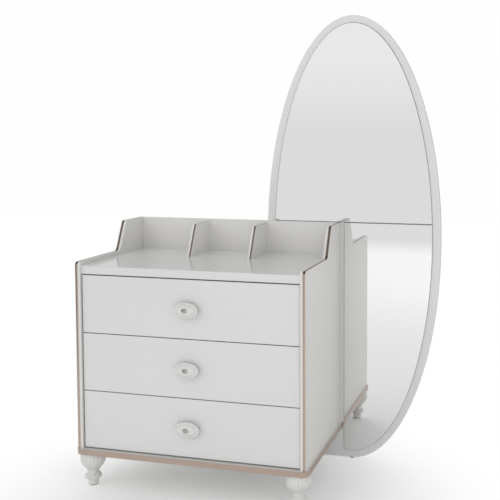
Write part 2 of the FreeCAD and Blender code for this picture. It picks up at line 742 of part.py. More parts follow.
def stem_outline():
    """The rose against the drawer front and the stem under the head."""
    e = knob_edge
    rose = KNOB_ROSE_RADIUS
    stem = KNOB_STEM_RADIUS
    return [line(e(0, 0), e(rose, 0)),
            line(e(rose, 0), e(rose, KNOB_ROSE_THICK)),
            line(e(rose, KNOB_ROSE_THICK), e(stem, KNOB_ROSE_THICK)),
            line(e(stem, KNOB_ROSE_THICK), e(stem, KNOB_STEM_REACH)),
            line(e(stem, KNOB_STEM_REACH), e(0, KNOB_STEM_REACH)),
            line(e(0, KNOB_STEM_REACH), e(0, 0))]


def head_outline():
    """The knob's head: flat underside, rim, sloping shoulder and dome."""
    e = knob_edge
    rim = KNOB_WIDTH / 2
    under = rim - KNOB_UNDERCUT
    dome = rim - KNOB_SHOULDER
    rim_top = KNOB_RIM_BASE + KNOB_RIM_THICK
    return [
        line(e(0, KNOB_STEM_REACH), e(under, KNOB_STEM_REACH)),
        eased_arc(e(under, KNOB_STEM_REACH), e(rim, KNOB_RIM_BASE),
                  V(1, 0, 0)),
        line(e(rim, KNOB_RIM_BASE), e(rim, rim_top)),
        eased_arc(e(dome, KNOB_DOME_BASE), e(rim, rim_top), V(1, 0, 0)),
        eased_arc(e(0, KNOB_REACH), e(dome, KNOB_DOME_BASE), V(1, 0, 0)),
        line(e(0, KNOB_REACH), e(0, KNOB_STEM_REACH))]


def knob_screw(height):
    start = V(0, FRONT_BACK, height)
    shank = rod(start, -BACKWARD, KNOB_SCREW_RADIUS,
                FRONT_THICK + KNOB_SCREW_GRIP)
    head = rod(start, BACKWARD, KNOB_SCREW_HEAD, KNOB_SCREW_HEAD_THICK)
    return shank.fuse(head).removeSplitter()


def box_fittings(base):
    """Cams, bolts, dowels and screws of one drawer box."""
    discs, bolts, others = [], [], []
    forward = -BACKWARD
    for hand in (-1, 1):
        inner = hand * (BOX_HALF - BOX_BOARD)
        middle = hand * (BOX_HALF - BOX_BOARD / 2)
        for share in (0.3, 0.8):
            face = V(inner, FRONT_BACK + CAM_SETBACK,
                     base + BOX_HEIGHT * share)
            disc, bolt = cam_pair(face, V(hand, 0, 0), forward, BOX_BOARD / 2)
            discs.append(disc)
            bolts.append(bolt)
        peg = V(middle, FRONT_RECESS + FRONT_THICK / 3,
                base + BOX_HEIGHT * 0.55)
        others.append(rod(peg, BACKWARD, DOWEL_RADIUS, DOWEL_LENGTH))
        for share in (0.2, 0.75):
            others.append(countersunk(
                V(hand * BOX_HALF, BOX_REAR - BOX_BOARD / 2,
                  base + BOX_HEIGHT * share), V(-hand, 0, 0),
                SCREW_RADIUS, SCREW_HEAD_RADIUS, 3 * RAIL_SCREW_LENGTH))
    return discs + bolts + others


def drawer(level, base):
    """Writes the pieces of one drawer whose front stands on base."""
    box_base = base + BOX_RISE
    middle = base + FRONT_HEIGHT / 2
    rail_height = box_base + RUNNER_RISE
    fittings = box_fittings(box_base)
    screw = knob_screw(middle)
    rail_screws = []
    for hand in (-1, 1):
        rail_screws += drawer_rail_screws(hand, rail_height)
    tools = fittings + rail_screws + [screw]

    wide = INSIDE - FRONT_SIDE_GAP
    front = block(-wide, wide, FRONT_RECESS, FRONT_BACK,
                  base, base + FRONT_HEIGHT)
    face_edges = [e for e in front.Edges
                  if abs(e.BoundBox.YMax - FRONT_RECESS) < 0.01]
    front = front.makeFillet(FRONT_EDGE_RADIUS, face_edges)
    save(level + "_drawer_front", [drilled(front, tools)])

    sheet_half = BOX_HALF - BOX_BOARD + BOTTOM_GROOVE
    sheet_low = box_base + BOTTOM_RISE
    sheet = block(-sheet_half, sheet_half, FRONT_BACK, BOX_REAR,
                  sheet_low, sheet_low + BOTTOM_THICK)
    slot = block(-sheet_half - GROOVE_CLEARANCE, sheet_half + GROOVE_CLEARANCE,
                 FRONT_BACK, BOX_REAR, sheet_low - GROOVE_CLEARANCE,
                 sheet_low + BOTTOM_THICK + GROOVE_CLEARANCE)
    save(level + "_drawer_bottom", [sheet])
    for name, hand in (("left", -1), ("right", 1)):
        board = block(hand * BOX_HALF, hand * (BOX_HALF - BOX_BOARD),
                      FRONT_BACK, BOX_REAR, box_base, box_base + BOX_HEIGHT)
        board = drilled(board.cut(slot), tools)
        save(level + "_drawer_side_" + name, [board])
    inner = BOX_HALF - BOX_BOARD
    back = block(-inner, inner, BOX_REAR - BOX_BOARD, BOX_REAR,
                 sheet_low + BOTTOM_THICK + GROOVE_CLEARANCE,
                 box_base + BOX_HEIGHT - BOX_BACK_DROP)
    save(level + "_drawer_back", [drilled(back, tools)])
    save(level + "_drawer_fittings", tools)

    boss = squashed(boss_outline(), BOSS_HEIGHT / BOSS_WIDTH, middle)
    save(level + "_drawer_knob_boss", [boss])
    flat = KNOB_HEIGHT / KNOB_WIDTH
    save(level + "_drawer_knob",
         [squashed(outline, flat, middle).cut([boss, screw]).Solids[0]
          for outline in (stem_outline(), head_outline())])

    save(level + "_runner_case_rails",
         [case_rail(hand, rail_height) for hand in (-1, 1)])
    save(level + "_runner_middle_rails",
         middle_rail(-1, rail_height) + middle_rail(1, rail_height))
    save(level + "_runner_drawer_rails",
         [drawer_rail(hand, rail_height) for hand in (-1, 1)])


def drawer_bases():
    first = SLAB_TOP + FRONT_BOTTOM_GAP
    return [first + i * (FRONT_HEIGHT + FRONT_GAP)
            for i in range(len(DRAWERS))]


# --- Build ---------------------------------------------------------------------
def build_case():
    discs, bolts = case_cams()
    dowels = case_dowels()
    screws = mirror_screws()
    places = foot_places()
    runner_screws = []
    for base in drawer_bases():
        height = base + BOX_RISE + RUNNER_RISE
        for hand in (-1, 1):
            runner_screws += case_rail_screws(hand, height)
    tools = discs + bolts + dowels + screws + runner_screws

    for name, hand in (("left", -1), ("right", 1)):
        panel, strip = side(hand)
        save("side_panel_" + name, [drilled(panel, tools)])
        save("side_inlay_" + name, [strip])
    strips = []
    for name, hand in (("left", -1), ("right", 1)):
        panel, strip = divider(hand)
        strips.append(strip)
        save("gallery_divider_" + name, [drilled(panel, dowels)])
    save("divider_inlays", strips)

    slab, band = slab_and_band()
    bores = [rod(place + UP * SLAB_BASE, UP, INSERT_RADIUS, INSERT_DEPTH)
             for place in places.values()]
    save("base_slab", [drilled(slab, dowels + bolts + bores)])
    save("base_edge_band", [band])
    save("top_panel", [drilled(top_panel(), tools)])
    save("back_panel", [back_panel()])
    save("gallery_back", [drilled(gallery_back(), tools)])
    save("dowels", dowels)
    save("cam_discs", discs)
    save("cam_bolts", bolts)
    save("runner_screws", runner_screws)

    for name, place in places.items():
        turned = foot() if name.startswith("front") else post()
        turned.translate(place)
        save("foot_" + name, [turned.cut(foot_bolt(place))])
    save("foot_bolts", [foot_bolt(p) for p in places.values()])
    save("foot_inserts", [foot_insert(p) for p in places.values()])
    save("floor_glides", floor_glides())

    upper, lower = mirror_glass()
    save("mirror_board", [drilled(mirror_board(), screws)])
    save("mirror_glass_upper", [upper])
    save("mirror_glass_lower", [lower])
    save("mirror_screws", screws)


def main():
    os.makedirs("parts", exist_ok=True)
    build_case()
    for level, base in zip(DRAWERS, drawer_bases()):
        drawer(level, base)


main()
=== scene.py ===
"""Dresser with a standing oval mirror: finishes, carving and small fittings.

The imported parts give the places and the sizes. This script dresses every part with its
finish, carves the front feet and the knobs, crowns the metal strips, grinds the edges of
the mirror's panes, adds the balls of the drawer runners and cuts the recesses of the
screws and cam discs.
"""

import json
import logging
import math
from collections.abc import Iterable, Sequence
from dataclasses import dataclass
from enum import Enum
from typing import ClassVar

import bmesh
import bpy
from bpy.types import Material, Mesh, Node, NodeSocket, NodeTree, Object
from mathutils import Matrix, Vector
from mathutils.geometry import tessellate_polygon

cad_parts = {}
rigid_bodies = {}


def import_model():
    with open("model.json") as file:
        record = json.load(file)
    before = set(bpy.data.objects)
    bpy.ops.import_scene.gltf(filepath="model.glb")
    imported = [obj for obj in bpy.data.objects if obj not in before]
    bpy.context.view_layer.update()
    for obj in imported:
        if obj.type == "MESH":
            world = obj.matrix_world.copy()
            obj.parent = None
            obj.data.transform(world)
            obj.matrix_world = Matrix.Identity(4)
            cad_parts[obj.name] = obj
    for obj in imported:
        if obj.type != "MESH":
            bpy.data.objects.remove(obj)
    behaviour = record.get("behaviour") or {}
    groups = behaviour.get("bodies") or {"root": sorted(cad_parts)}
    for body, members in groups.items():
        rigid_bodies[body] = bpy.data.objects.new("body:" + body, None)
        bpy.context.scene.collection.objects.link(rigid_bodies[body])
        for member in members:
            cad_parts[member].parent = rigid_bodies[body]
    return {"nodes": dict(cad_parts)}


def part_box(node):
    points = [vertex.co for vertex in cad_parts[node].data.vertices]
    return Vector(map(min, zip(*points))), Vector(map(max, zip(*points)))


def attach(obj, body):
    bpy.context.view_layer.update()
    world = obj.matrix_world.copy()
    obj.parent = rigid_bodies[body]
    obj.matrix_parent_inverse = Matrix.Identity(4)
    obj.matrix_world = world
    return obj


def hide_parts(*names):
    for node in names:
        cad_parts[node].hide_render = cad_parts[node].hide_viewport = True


for leftover in list(bpy.data.objects):
    bpy.data.objects.remove(leftover)
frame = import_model()

LOG = logging.getLogger("dresser")
MM = 0.001
MICRON = 1e-6
TINY = 1e-7  # Lengths below this, in metres, count as nothing.
FRONT_TILT = -0.9  # Below this, a normal's Y part means that a face looks forward.
Point = tuple[float, float]
Place = tuple[float, float, float]


class Slot(Enum):
    """The finishes that the parts carry."""

    WHITE_LACQUER = "white_lacquer"
    GLOSS_LACQUER = "gloss_lacquer"
    ROSE_METAL = "rose_metal"
    WHITE_MELAMINE = "white_melamine"
    HARDBOARD = "hardboard"
    KNOB_WHITE = "knob_white"
    KNOB_BOSS_METAL = "knob_boss_metal"
    RUNNER_STEEL = "runner_steel"
    FITTING_STEEL = "fitting_steel"
    BEECH = "beech"
    GLIDE_PLASTIC = "glide_plastic"
    MIRROR_GLASS = "mirror_glass"


class Level(Enum):
    """The three drawers, from the floor up."""

    LOWER = "lower"
    CENTRE = "centre"
    UPPER = "upper"


class Head(Enum):
    """Which end of a fastener shows."""

    WIDE_END = "wide_end"
    OPEN_FACE = "open_face"


# --- Small tools ---
def linear(code: str) -> tuple[float, float, float, float]:
    """Turns an sRGB hex code into a linear colour.

    Args:
        code: Six hexadecimal digits, such as "d6d6d3".

    Returns:
        Red, green, blue and alpha, linear.
    """
    parts = [int(code[i:i + 2], 16) / 255 for i in (0, 2, 4)]
    red, green, blue = [c / 12.92 if c <= 0.04045 else ((c + 0.055) / 1.055) ** 2.4
                        for c in parts]
    return red, green, blue, 1.0


def per_mm(size: float) -> float:
    """Texture scale, in cycles per metre, of a pattern this many mm across."""
    return 1000 / size


def add_node(tree: NodeTree, kind: str, inputs: dict[str | int, object] | None = None,
             **settings: object) -> Node:
    """Adds one node to a tree, with its settings, values and links.

    Args:
        tree: The tree that gets the node.
        kind: The node's type name.
        inputs: A value or another node's socket for each named or numbered input.
        **settings: The node's own properties.

    Returns:
        The new node.
    """
    node = tree.nodes.new(kind)
    for name, value in settings.items():
        setattr(node, name, value)
    for key, value in (inputs or {}).items():
        if isinstance(value, NodeSocket):
            tree.links.new(value, node.inputs[key])
        else:
            node.inputs[key].default_value = value
    return node


def add_object(name: str, data: bpy.types.ID) -> Object:
    """Puts a mesh, lamp or camera into the scene as an object at the origin."""
    piece = bpy.data.objects.new(name, data)
    bpy.context.scene.collection.objects.link(piece)
    return piece


def hand_over(piece: Object, body: str, slot: Slot, *nodes: str) -> Object:
    """Ties a finished piece to the frame.

    Args:
        piece: The piece.
        body: The body that it moves with.
        slot: Its finish; not used.
        *nodes: The plain nodes that it stands for.

    Returns:
        The piece.
    """
    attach(piece, body)
    for node in nodes:
        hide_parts(node)
    return piece


def make_mesh(name: str, points: Sequence[Place], faces: Sequence[Sequence[int]] = (),
              edges: Sequence[Sequence[int]] = (), smooth: bool = True) -> Mesh:
    """Makes a mesh from its points.

    Args:
        name: The mesh's name.
        points: The vertices, in metres.
        faces: Vertex numbers of each face, anticlockwise from outside.
        edges: Vertex numbers of each edge that belongs to no face.
        smooth: Whether its faces are shaded smooth.

    Returns:
        The mesh.
    """
    mesh = bpy.data.meshes.new(name)
    mesh.from_pydata(points, edges, faces)
    mesh.update()
    if smooth:
        mesh.shade_smooth()
    else:
        mesh.shade_flat()
    return mesh


def solids_of(node: str) -> list[list[Vector]]:
    """Splits a node that holds several loose solids.

    Args:
        node: The name of a node of the frame.

    Returns:
        The different points of each solid.
    """
    mesh = frame["nodes"][node].data
    keys = [tuple(round(c / MICRON) for c in v.co) for v in mesh.vertices]
    parent: dict[tuple[int, ...], tuple[int, ...]] = {k: k for k in keys}

    def root(key: tuple[int, ...]) -> tuple[int, ...]:
        """The point that stands for all points joined with this one."""
        while parent[key] != key:
            parent[key] = parent[parent[key]]
            key = parent[key]
        return key

    for face in mesh.polygons:
        first = root(keys[face.vertices[0]])
        for corner in face.vertices[1:]:
            parent[root(keys[corner])] = first
    groups: dict[tuple[int, ...], list[Vector]] = {}
    for key in parent:
        groups.setdefault(root(key), []).append(Vector(key) * MICRON)
    return [groups[key] for key in sorted(groups)]


def limits(points: Iterable[Vector]) -> tuple[Vector, Vector]:
    """Lowest and highest corner of some points."""
    columns = list(zip(*points))
    return Vector(map(min, columns)), Vector(map(max, columns))


def eased_arc(tip: Point, end: Point, heading: Point, steps: int) -> list[Point]:
    """Points on the arc that leaves its tip along a heading and runs to its end.

    Args:
        tip: Where the arc starts.
        end: Where it ends.
        heading: Unit direction in which it leaves the tip.
        steps: How many points it has past its tip.

    Returns:
        The points, tip and end included.
    """
    dx, dy = end[0] - tip[0], end[1] - tip[1]
    side = (-heading[1], heading[0])
    across = dx * side[0] + dy * side[1]
    if abs(across) < TINY * MM:
        return [tip, end]
    radius = (dx * dx + dy * dy) / (2 * across)
    centre = (tip[0] + side[0] * radius, tip[1] + side[1] * radius)
    start = math.atan2(tip[1] - centre[1], tip[0] - centre[0])
    sweep = 2 * math.atan2(across, dx * heading[0] + dy * heading[1])
    r = abs(radius)
    return [(centre[0] + r * math.cos(start + sweep * i / steps),
             centre[1] + r * math.sin(start + sweep * i / steps))
            for i in range(steps + 1)]


def rounded(corners: Sequence[Place], steps: int) -> list[Point]:
    """Points along a line of straights whose corners are arcs.

    Args:
        corners: Both coordinates and the radius of each stop.
        steps: How many steps each arc has.

    Returns:
        The points, from the first stop to the last.
    """
    stops = [Vector(c[:2]) for c in corners]
    points = [tuple(stops[0])]
    for before, stop, after, corner in zip(stops, stops[1:], stops[2:], corners[1:]):
        come, leave = (stop - before).normalized(), (after - stop).normalized()
        reach = corner[2] * math.tan(come.angle(leave) / 2)
        points += eased_arc(tuple(stop - come * reach), tuple(stop + leave * reach),
                            tuple(come), steps)
    return [*points, tuple(stops[-1])]


def divided(start: Point, end: Point, steps: int) -> list[Point]:
    """Points along a straight line, both ends included."""
    return [(start[0] + (end[0] - start[0]) * i / steps,
             start[1] + (end[1] - start[1]) * i / steps) for i in range(steps + 1)]


# --- Geometry Nodes ---
class NodeShape:
    """A Geometry Nodes tree with named inputs, used on one mesh at a time."""

    SOCKETS = {float: "NodeSocketFloat", int: "NodeSocketInt", str: "NodeSocketString",
               Material: "NodeSocketMaterial", Object: "NodeSocketObject"}

    def __init__(self, name: str, inputs: dict[str, type]) -> None:
        """Makes the tree with its inputs, ready for its nodes.

        Args:
            name: The tree's name.
            inputs: The type of each named input, apart from geometry and material.
        """
        self.tree = bpy.data.node_groups.new(name, "GeometryNodeTree")
        face = self.tree.interface
        for way in ("INPUT", "OUTPUT"):
            face.new_socket("Geometry", in_out=way, socket_type="NodeSocketGeometry")
        for label, kind in {**inputs, "Material": Material}.items():
            face.new_socket(label, in_out="INPUT", socket_type=self.SOCKETS[kind])
        self.given = add_node(self.tree, "NodeGroupInput").outputs

    def close(self, geometry: NodeSocket) -> None:
        """Ends the tree in real geometry that carries the given material."""
        real = add_node(self.tree, "GeometryNodeRealizeInstances", {"Geometry": geometry})
        dressed = add_node(self.tree, "GeometryNodeSetMaterial", {
            "Geometry": real.outputs[0], "Material": self.given["Material"]})
        add_node(self.tree, "NodeGroupOutput", {"Geometry": dressed.outputs[0]})

    def apply(self, piece: Object, **values: object) -> None:
        """Runs the tree on an object and keeps the result as its plain mesh.

        Args:
            piece: The object; its mesh is replaced.
            **values: A value for each input, with _ for a space in its name.
        """
        modifier = piece.modifiers.new(self.tree.name, "NODES")
        modifier.node_group = self.tree
        names = {s.name: s.identifier for s in self.tree.interface.items_tree
                 if s.item_type == "SOCKET" and s.in_out == "INPUT"}
        for label, value in values.items():
            modifier[names[label.replace("_", " ")]] = value
        graph = bpy.context.evaluated_depsgraph_get()
        result = bpy.data.meshes.new_from_object(piece.evaluated_get(graph))
        piece.modifiers.remove(modifier)
        piece.data = result


class PetalCarving(NodeShape):
    """Cuts rounded petals into a turned surface.

    The mesh carries two values at each point: turn, its share of one turn round the axis,
    and run, its place along the petal from the rounded end at 0 to the root at 1. Outside
    that range, nothing is cut.
    """

    ROUNDNESS = 2.6
    NARROWEST = 0.001
    # Each step names its result, its operation and what it works on.
    STEPS = (
        # Across the petal: 0 on its middle line, 1 between two petals.
        ("turns", "MULTIPLY", "turn", "Petals"), ("share", "FRACT", "turns"),
        ("aside", "MULTIPLY_ADD", "share", 2.0, -1.0), ("across", "ABSOLUTE", "aside"),
        # The outline narrows to a round tip over the first stretch of the run.
        ("climb", "DIVIDE", "run", "Round end"), ("from_tip", "MAXIMUM", "climb", 0.0),
        ("tip", "MINIMUM", "from_tip", 1.0), ("back", "SUBTRACT", 1.0, "tip"),
        ("square", "MULTIPLY", "back", "back"), ("left", "SUBTRACT", 1.0, "square"),
        ("half", "SQRT", "left"), ("width", "MAXIMUM", "half", NARROWEST),
        # The petal's crest is full in its middle and falls to its outline.
        ("ratio", "DIVIDE", "across", "width"), ("place", "MINIMUM", "ratio", 1.0),
        ("power", "POWER", "place", ROUNDNESS), ("rest", "SUBTRACT", 1.0, "power"),
        ("crest", "SQRT", "rest"), ("drop", "SUBTRACT", 1.0, "crest"),
        ("faded", "MULTIPLY", "drop", "fade"), ("begun", "GREATER_THAN", "run", 0.0),
        ("cut", "MULTIPLY", "faded", "begun"), ("deep", "MULTIPLY", "cut", "Depth"),
        ("sunk", "MULTIPLY", "deep", -1.0))

    def __init__(self) -> None:
        """Builds the tree."""
        super().__init__("petal_carving", {
            "Petals": int, "Depth": float, "Round end": float, "Root": float,
            "Turn": str, "Run": str})
        tree, sockets = self.tree, {socket.name: socket for socket in self.given}
        for label in ("Turn", "Run"):
            sockets[label.lower()] = add_node(
                tree, "GeometryNodeInputNamedAttribute", {"Name": sockets[label]},
                data_type="FLOAT").outputs[0]
        sockets["fade"] = add_node(
            tree, "ShaderNodeMapRange",
            {"Value": sockets["run"], 1: sockets["Root"], 2: 1.0, 3: 1.0, 4: 0.0},
            interpolation_type="SMOOTHSTEP").outputs[0]
        for name, operation, *values in self.STEPS:
            sockets[name] = add_node(
                tree, "ShaderNodeMath",
                {i: sockets.get(value, value) for i, value in enumerate(values)},
                operation=operation).outputs[0]
        inward = add_node(tree, "ShaderNodeVectorMath", {
            0: add_node(tree, "GeometryNodeInputNormal").outputs[0],
            "Scale": sockets["sunk"]}, operation="SCALE")
        self.close(add_node(tree, "GeometryNodeSetPosition", {
            "Geometry": sockets["Geometry"], "Offset": inward.outputs[0]}).outputs[0])


class BallRows(NodeShape):
    """Sets a row of balls from each point of a mesh, along Y."""

    def __init__(self) -> None:
        """Builds the tree."""
        super().__init__("ball_rows", {"Count": int, "Pitch": float, "Radius": float})
        tree, given = self.tree, self.given
        step = add_node(tree, "ShaderNodeCombineXYZ", {"Y": given["Pitch"]})
        row = add_node(tree, "GeometryNodeMeshLine", {
            "Count": given["Count"], "Offset": step.outputs[0]})
        ball = add_node(tree, "GeometryNodeMeshIcoSphere", {
            "Radius": given["Radius"], "Subdivisions": 2})
        smooth = add_node(tree, "GeometryNodeSetShadeSmooth", {"Geometry": ball.outputs[0]})
        balls = add_node(tree, "GeometryNodeInstanceOnPoints", {
            "Points": row.outputs[0], "Instance": smooth.outputs[0]})
        self.close(add_node(tree, "GeometryNodeInstanceOnPoints", {
            "Points": given["Geometry"], "Instance": balls.outputs[0]}).outputs[0])


class ProfileSweep(NodeShape):
    """Draws a closed cross-section along a path of edges that lies in an X plane.

    The cross-section's X keeps to the X axis, and its Y points into the piece.
    """

    def __init__(self) -> None:
        """Builds the tree."""
        super().__init__("profile_sweep", {"Profile": Object})
        tree, given = self.tree, self.given
        path = add_node(tree, "GeometryNodeMeshToCurve", {0: given["Geometry"]})
        upright = add_node(tree, "GeometryNodeSetCurveNormal", {0: path.outputs[0]}, mode="Z_UP")
        shape = add_node(tree, "GeometryNodeObjectInfo", {"Object": given["Profile"]})
        ring = add_node(tree, "GeometryNodeMeshToCurve", {0: shape.outputs["Geometry"]})
        self.close(add_node(tree, "GeometryNodeCurveToMesh", {
            "Curve": upright.outputs[0], "Profile Curve": ring.outputs[0],
            "Fill Caps": True}).outputs[0])


class FastenerSpread(NodeShape):
    """Sets one fastener at each point of a mesh, turned to the point's aim."""

    def __init__(self) -> None:
        """Builds the tree."""
        super().__init__("fastener_spread", {"Fastener": Object})
        tree, given = self.tree, self.given
        aim = add_node(tree, "GeometryNodeInputNamedAttribute", {"Name": "aim"},
                       data_type="FLOAT_VECTOR")
        turned_to = add_node(tree, "FunctionNodeAlignRotationToVector",
                             {"Vector": aim.outputs[0]}, axis="Z")
        source = add_node(tree, "GeometryNodeObjectInfo", {"Object": given["Fastener"]})
        self.close(add_node(tree, "GeometryNodeInstanceOnPoints", {
            "Points": given["Geometry"], "Instance": source.outputs["Geometry"],
            "Rotation": turned_to.outputs[0]}).outputs[0])


# --- Finishes ---
def new_material(name: str) -> tuple[Material, NodeTree, Node, NodeSocket]:
    """Makes an empty material.

    Args:
        name: Its name.

    Returns:
        The material, its tree, its shader and the object coordinates.
    """
    material = bpy.data.materials.new(name)
    material.use_nodes = True
    tree = material.node_tree
    place = add_node(tree, "ShaderNodeTexCoord").outputs["Object"]
    return material, tree, tree.nodes["Principled BSDF"], place


def mottled(tree: NodeTree, place: NodeSocket, grain: float, detail: float, dark: str,
            light: str, roughness: float = 0.5) -> tuple[NodeSocket, NodeSocket]:
    """Two tones that follow one noise pattern.

    Args:
        tree: The material's tree.
        place: The coordinates.
        grain: How wide the pattern is, in millimetres.
        detail: How many finer layers it has.
        dark: The tone of its low parts.
        light: The tone of its high parts.
        roughness: How strong the finer layers are.

    Returns:
        The pattern and the colour.
    """
    pattern = add_node(tree, "ShaderNodeTexNoise", {
        "Vector": place, "Scale": per_mm(grain), "Detail": detail,
        "Roughness": roughness}).outputs[0]
    colour = add_node(tree, "ShaderNodeMix", {0: pattern, 6: linear(dark), 7: linear(light)},
                      data_type="RGBA").outputs[2]
    return pattern, colour


def two_faced(tree: NodeTree, here: object, elsewhere: object, test: str,
              *bounds: float) -> tuple[NodeSocket, NodeSocket]:
    """Two colours that go by the way a face looks.

    Args:
        tree: The material's tree.
        here: The colour, or its socket, where the Y part of the normal passes the test.
        elsewhere: The colour of the other faces.
        test: The comparison, such as "LESS_THAN".
        *bounds: What it compares with.

    Returns:
        1 where the test is passed and 0 elsewhere, and the colour.
    """
    normal = add_node(tree, "ShaderNodeNewGeometry").outputs["Normal"]
    depth = add_node(tree, "ShaderNodeSeparateXYZ", {0: normal}).outputs["Y"]
    passed = add_node(tree, "ShaderNodeMath", dict(enumerate((depth, *bounds))),
                      operation=test).outputs[0]
    colour = add_node(tree, "ShaderNodeMix", {0: passed, 6: elsewhere, 7: here},
                      data_type="RGBA").outputs[2]
    return passed, colour


@dataclass(frozen=True)
class Finish:
    """A finish whose tone, gloss and relief follow one fine pattern.

    The pattern's width and the relief's height are in millimetres.
    """

    name: str
    light: str
    dark: str
    grain: float
    detail: float
    rough: tuple[float, float]
    metallic: float = 0.0
    relief: float = 0.0
    stretch: Place | None = None

    def build(self) -> Material:
        """Makes the material."""
        material, tree, shader, place = new_material(self.name)
        if self.stretch:
            place = add_node(tree, "ShaderNodeMapping", {
                "Vector": place, "Scale": self.stretch}).outputs[0]
        pattern, colour = mottled(tree, place, self.grain, self.detail, self.dark, self.light)
        tree.links.new(colour, shader.inputs["Base Color"])
        low, high = self.rough
        shader.inputs["Roughness"].default_value = low
        if low != high:
            rough = add_node(tree, "ShaderNodeMapRange", {"Value": pattern, 3: low, 4: high})
            tree.links.new(rough.outputs[0], shader.inputs["Roughness"])
        if self.relief:
            bump = add_node(tree, "ShaderNodeBump", {
                "Height": pattern, "Distance": self.relief * MM})
            tree.links.new(bump.outputs[0], shader.inputs["Normal"])
        shader.inputs["Metallic"].default_value = self.metallic
        return material


@dataclass(frozen=True)
class SprayedLacquer:
    """Polyurethane lacquer sprayed on fine board, or enamel on a casting.

    The eye sees an even white with a faint cloudiness from the filler under it, and
    reflections that ripple a little over the orange peel of the spray. Orange peel is
    about 2 mm across, and a few thousandths of a millimetre high.
    """

    name: str
    light: str
    shade: str
    roughness: float
    coat: float
    peel: float
    ripple: float
    # A greyer colour painted on faces that look sideways: painted shade along the edge.
    edge: str = ""
    coat_blur: float = 0.06
    CLOUD: ClassVar[float] = 170
    PATCH: ClassVar[float] = 45
    PATCHY: ClassVar[Point] = (-0.02, 0.03)
    EDGE_SHADE_TILT: ClassVar[float] = 0.5
    INDEX: ClassVar[float] = 1.5

    def build(self) -> Material:
        """Makes the material."""
        material, tree, shader, place = new_material(self.name)
        colour = mottled(tree, place, self.CLOUD, 2.0, self.shade, self.light)[1]
        if self.edge:
            # Faces that look neither forward nor back take the edge colour, a greyer tone:
            # painted shade for the dark outline along the edge.
            colour = two_faced(tree, linear(self.edge), colour, "COMPARE", 0.0, self.EDGE_SHADE_TILT)[1]
        patch = add_node(tree, "ShaderNodeTexNoise", {
            "Vector": place, "Scale": per_mm(self.PATCH), "Detail": 3.0})
        less, more = self.PATCHY
        gloss = add_node(tree, "ShaderNodeMapRange", {
            "Value": patch.outputs[0], 3: self.roughness + less, 4: self.roughness + more})
        peel = add_node(tree, "ShaderNodeTexNoise", {
            "Vector": place, "Scale": per_mm(self.peel), "Detail": 1.0})
        bump = add_node(tree, "ShaderNodeBump", {
            "Height": peel.outputs[0], "Distance": self.ripple * MM, "Strength": 1.0})
        for socket, name in ((colour, "Base Color"), (gloss.outputs[0], "Roughness"),
                             (bump.outputs[0], "Normal"), (bump.outputs[0], "Coat Normal")):
            tree.links.new(socket, shader.inputs[name])
        shader.inputs["IOR"].default_value = self.INDEX
        shader.inputs["Coat Weight"].default_value = self.coat
        shader.inputs["Coat Roughness"].default_value = self.coat_blur
        return material


@dataclass(frozen=True)
class SilveredGlass:
    """Float glass, silvered behind, with ground edges.

    The face mirrors almost everything. The edge is darker, since the eye looks along the
    glass there, and blurred by the grinding.
    """

    name: str
    face: str
    edge: str
    grit: float
    ground: Point

    def build(self) -> Material:
        """Makes the material."""
        material, tree, shader, place = new_material(self.name)
        front, colour = two_faced(tree, linear(self.face), linear(self.edge), "LESS_THAN",
                                  FRONT_TILT)
        grind = add_node(tree, "ShaderNodeTexNoise", {
            "Vector": place, "Scale": per_mm(self.grit)})
        ground = add_node(tree, "ShaderNodeMapRange", {
            "Value": grind.outputs[0], 3: self.ground[0], 4: self.ground[1]})
        rough = add_node(tree, "ShaderNodeMix", {0: front, 2: ground.outputs[0], 3: 0.0},
                         data_type="FLOAT")
        tree.links.new(colour, shader.inputs["Base Color"])
        tree.links.new(rough.outputs[0], shader.inputs["Roughness"])
        shader.inputs["Metallic"].default_value = 1.0
        return material


@dataclass(frozen=True)
class Hardboard:
    """Wet-pressed hardboard, painted on its face and brown behind.

    The rear keeps the weave of the press wire; the painted face is smooth.
    """

    name: str
    face: str
    rear: str
    fibre: str
    felt: float = 7
    wire: float = 1.6
    relief: float = 0.12
    roughness: float = 0.62
    REAR_TILT: ClassVar[float] = 0.5

    def build(self) -> Material:
        """Makes the material."""
        material, tree, shader, place = new_material(self.name)
        brown = mottled(tree, place, self.felt, 8.0, self.fibre, self.rear, 0.7)[1]
        behind, colour = two_faced(tree, brown, linear(self.face), "GREATER_THAN", self.REAR_TILT)
        wire = add_node(tree, "ShaderNodeTexVoronoi", {
            "Vector": place, "Scale": per_mm(self.wire)})
        bump = add_node(tree, "ShaderNodeBump", {
            "Height": wire.outputs[0], "Distance": self.relief * MM, "Strength": behind})
        tree.links.new(colour, shader.inputs["Base Color"])
        tree.links.new(bump.outputs[0], shader.inputs["Normal"])
        shader.inputs["Roughness"].default_value = self.roughness
        return material


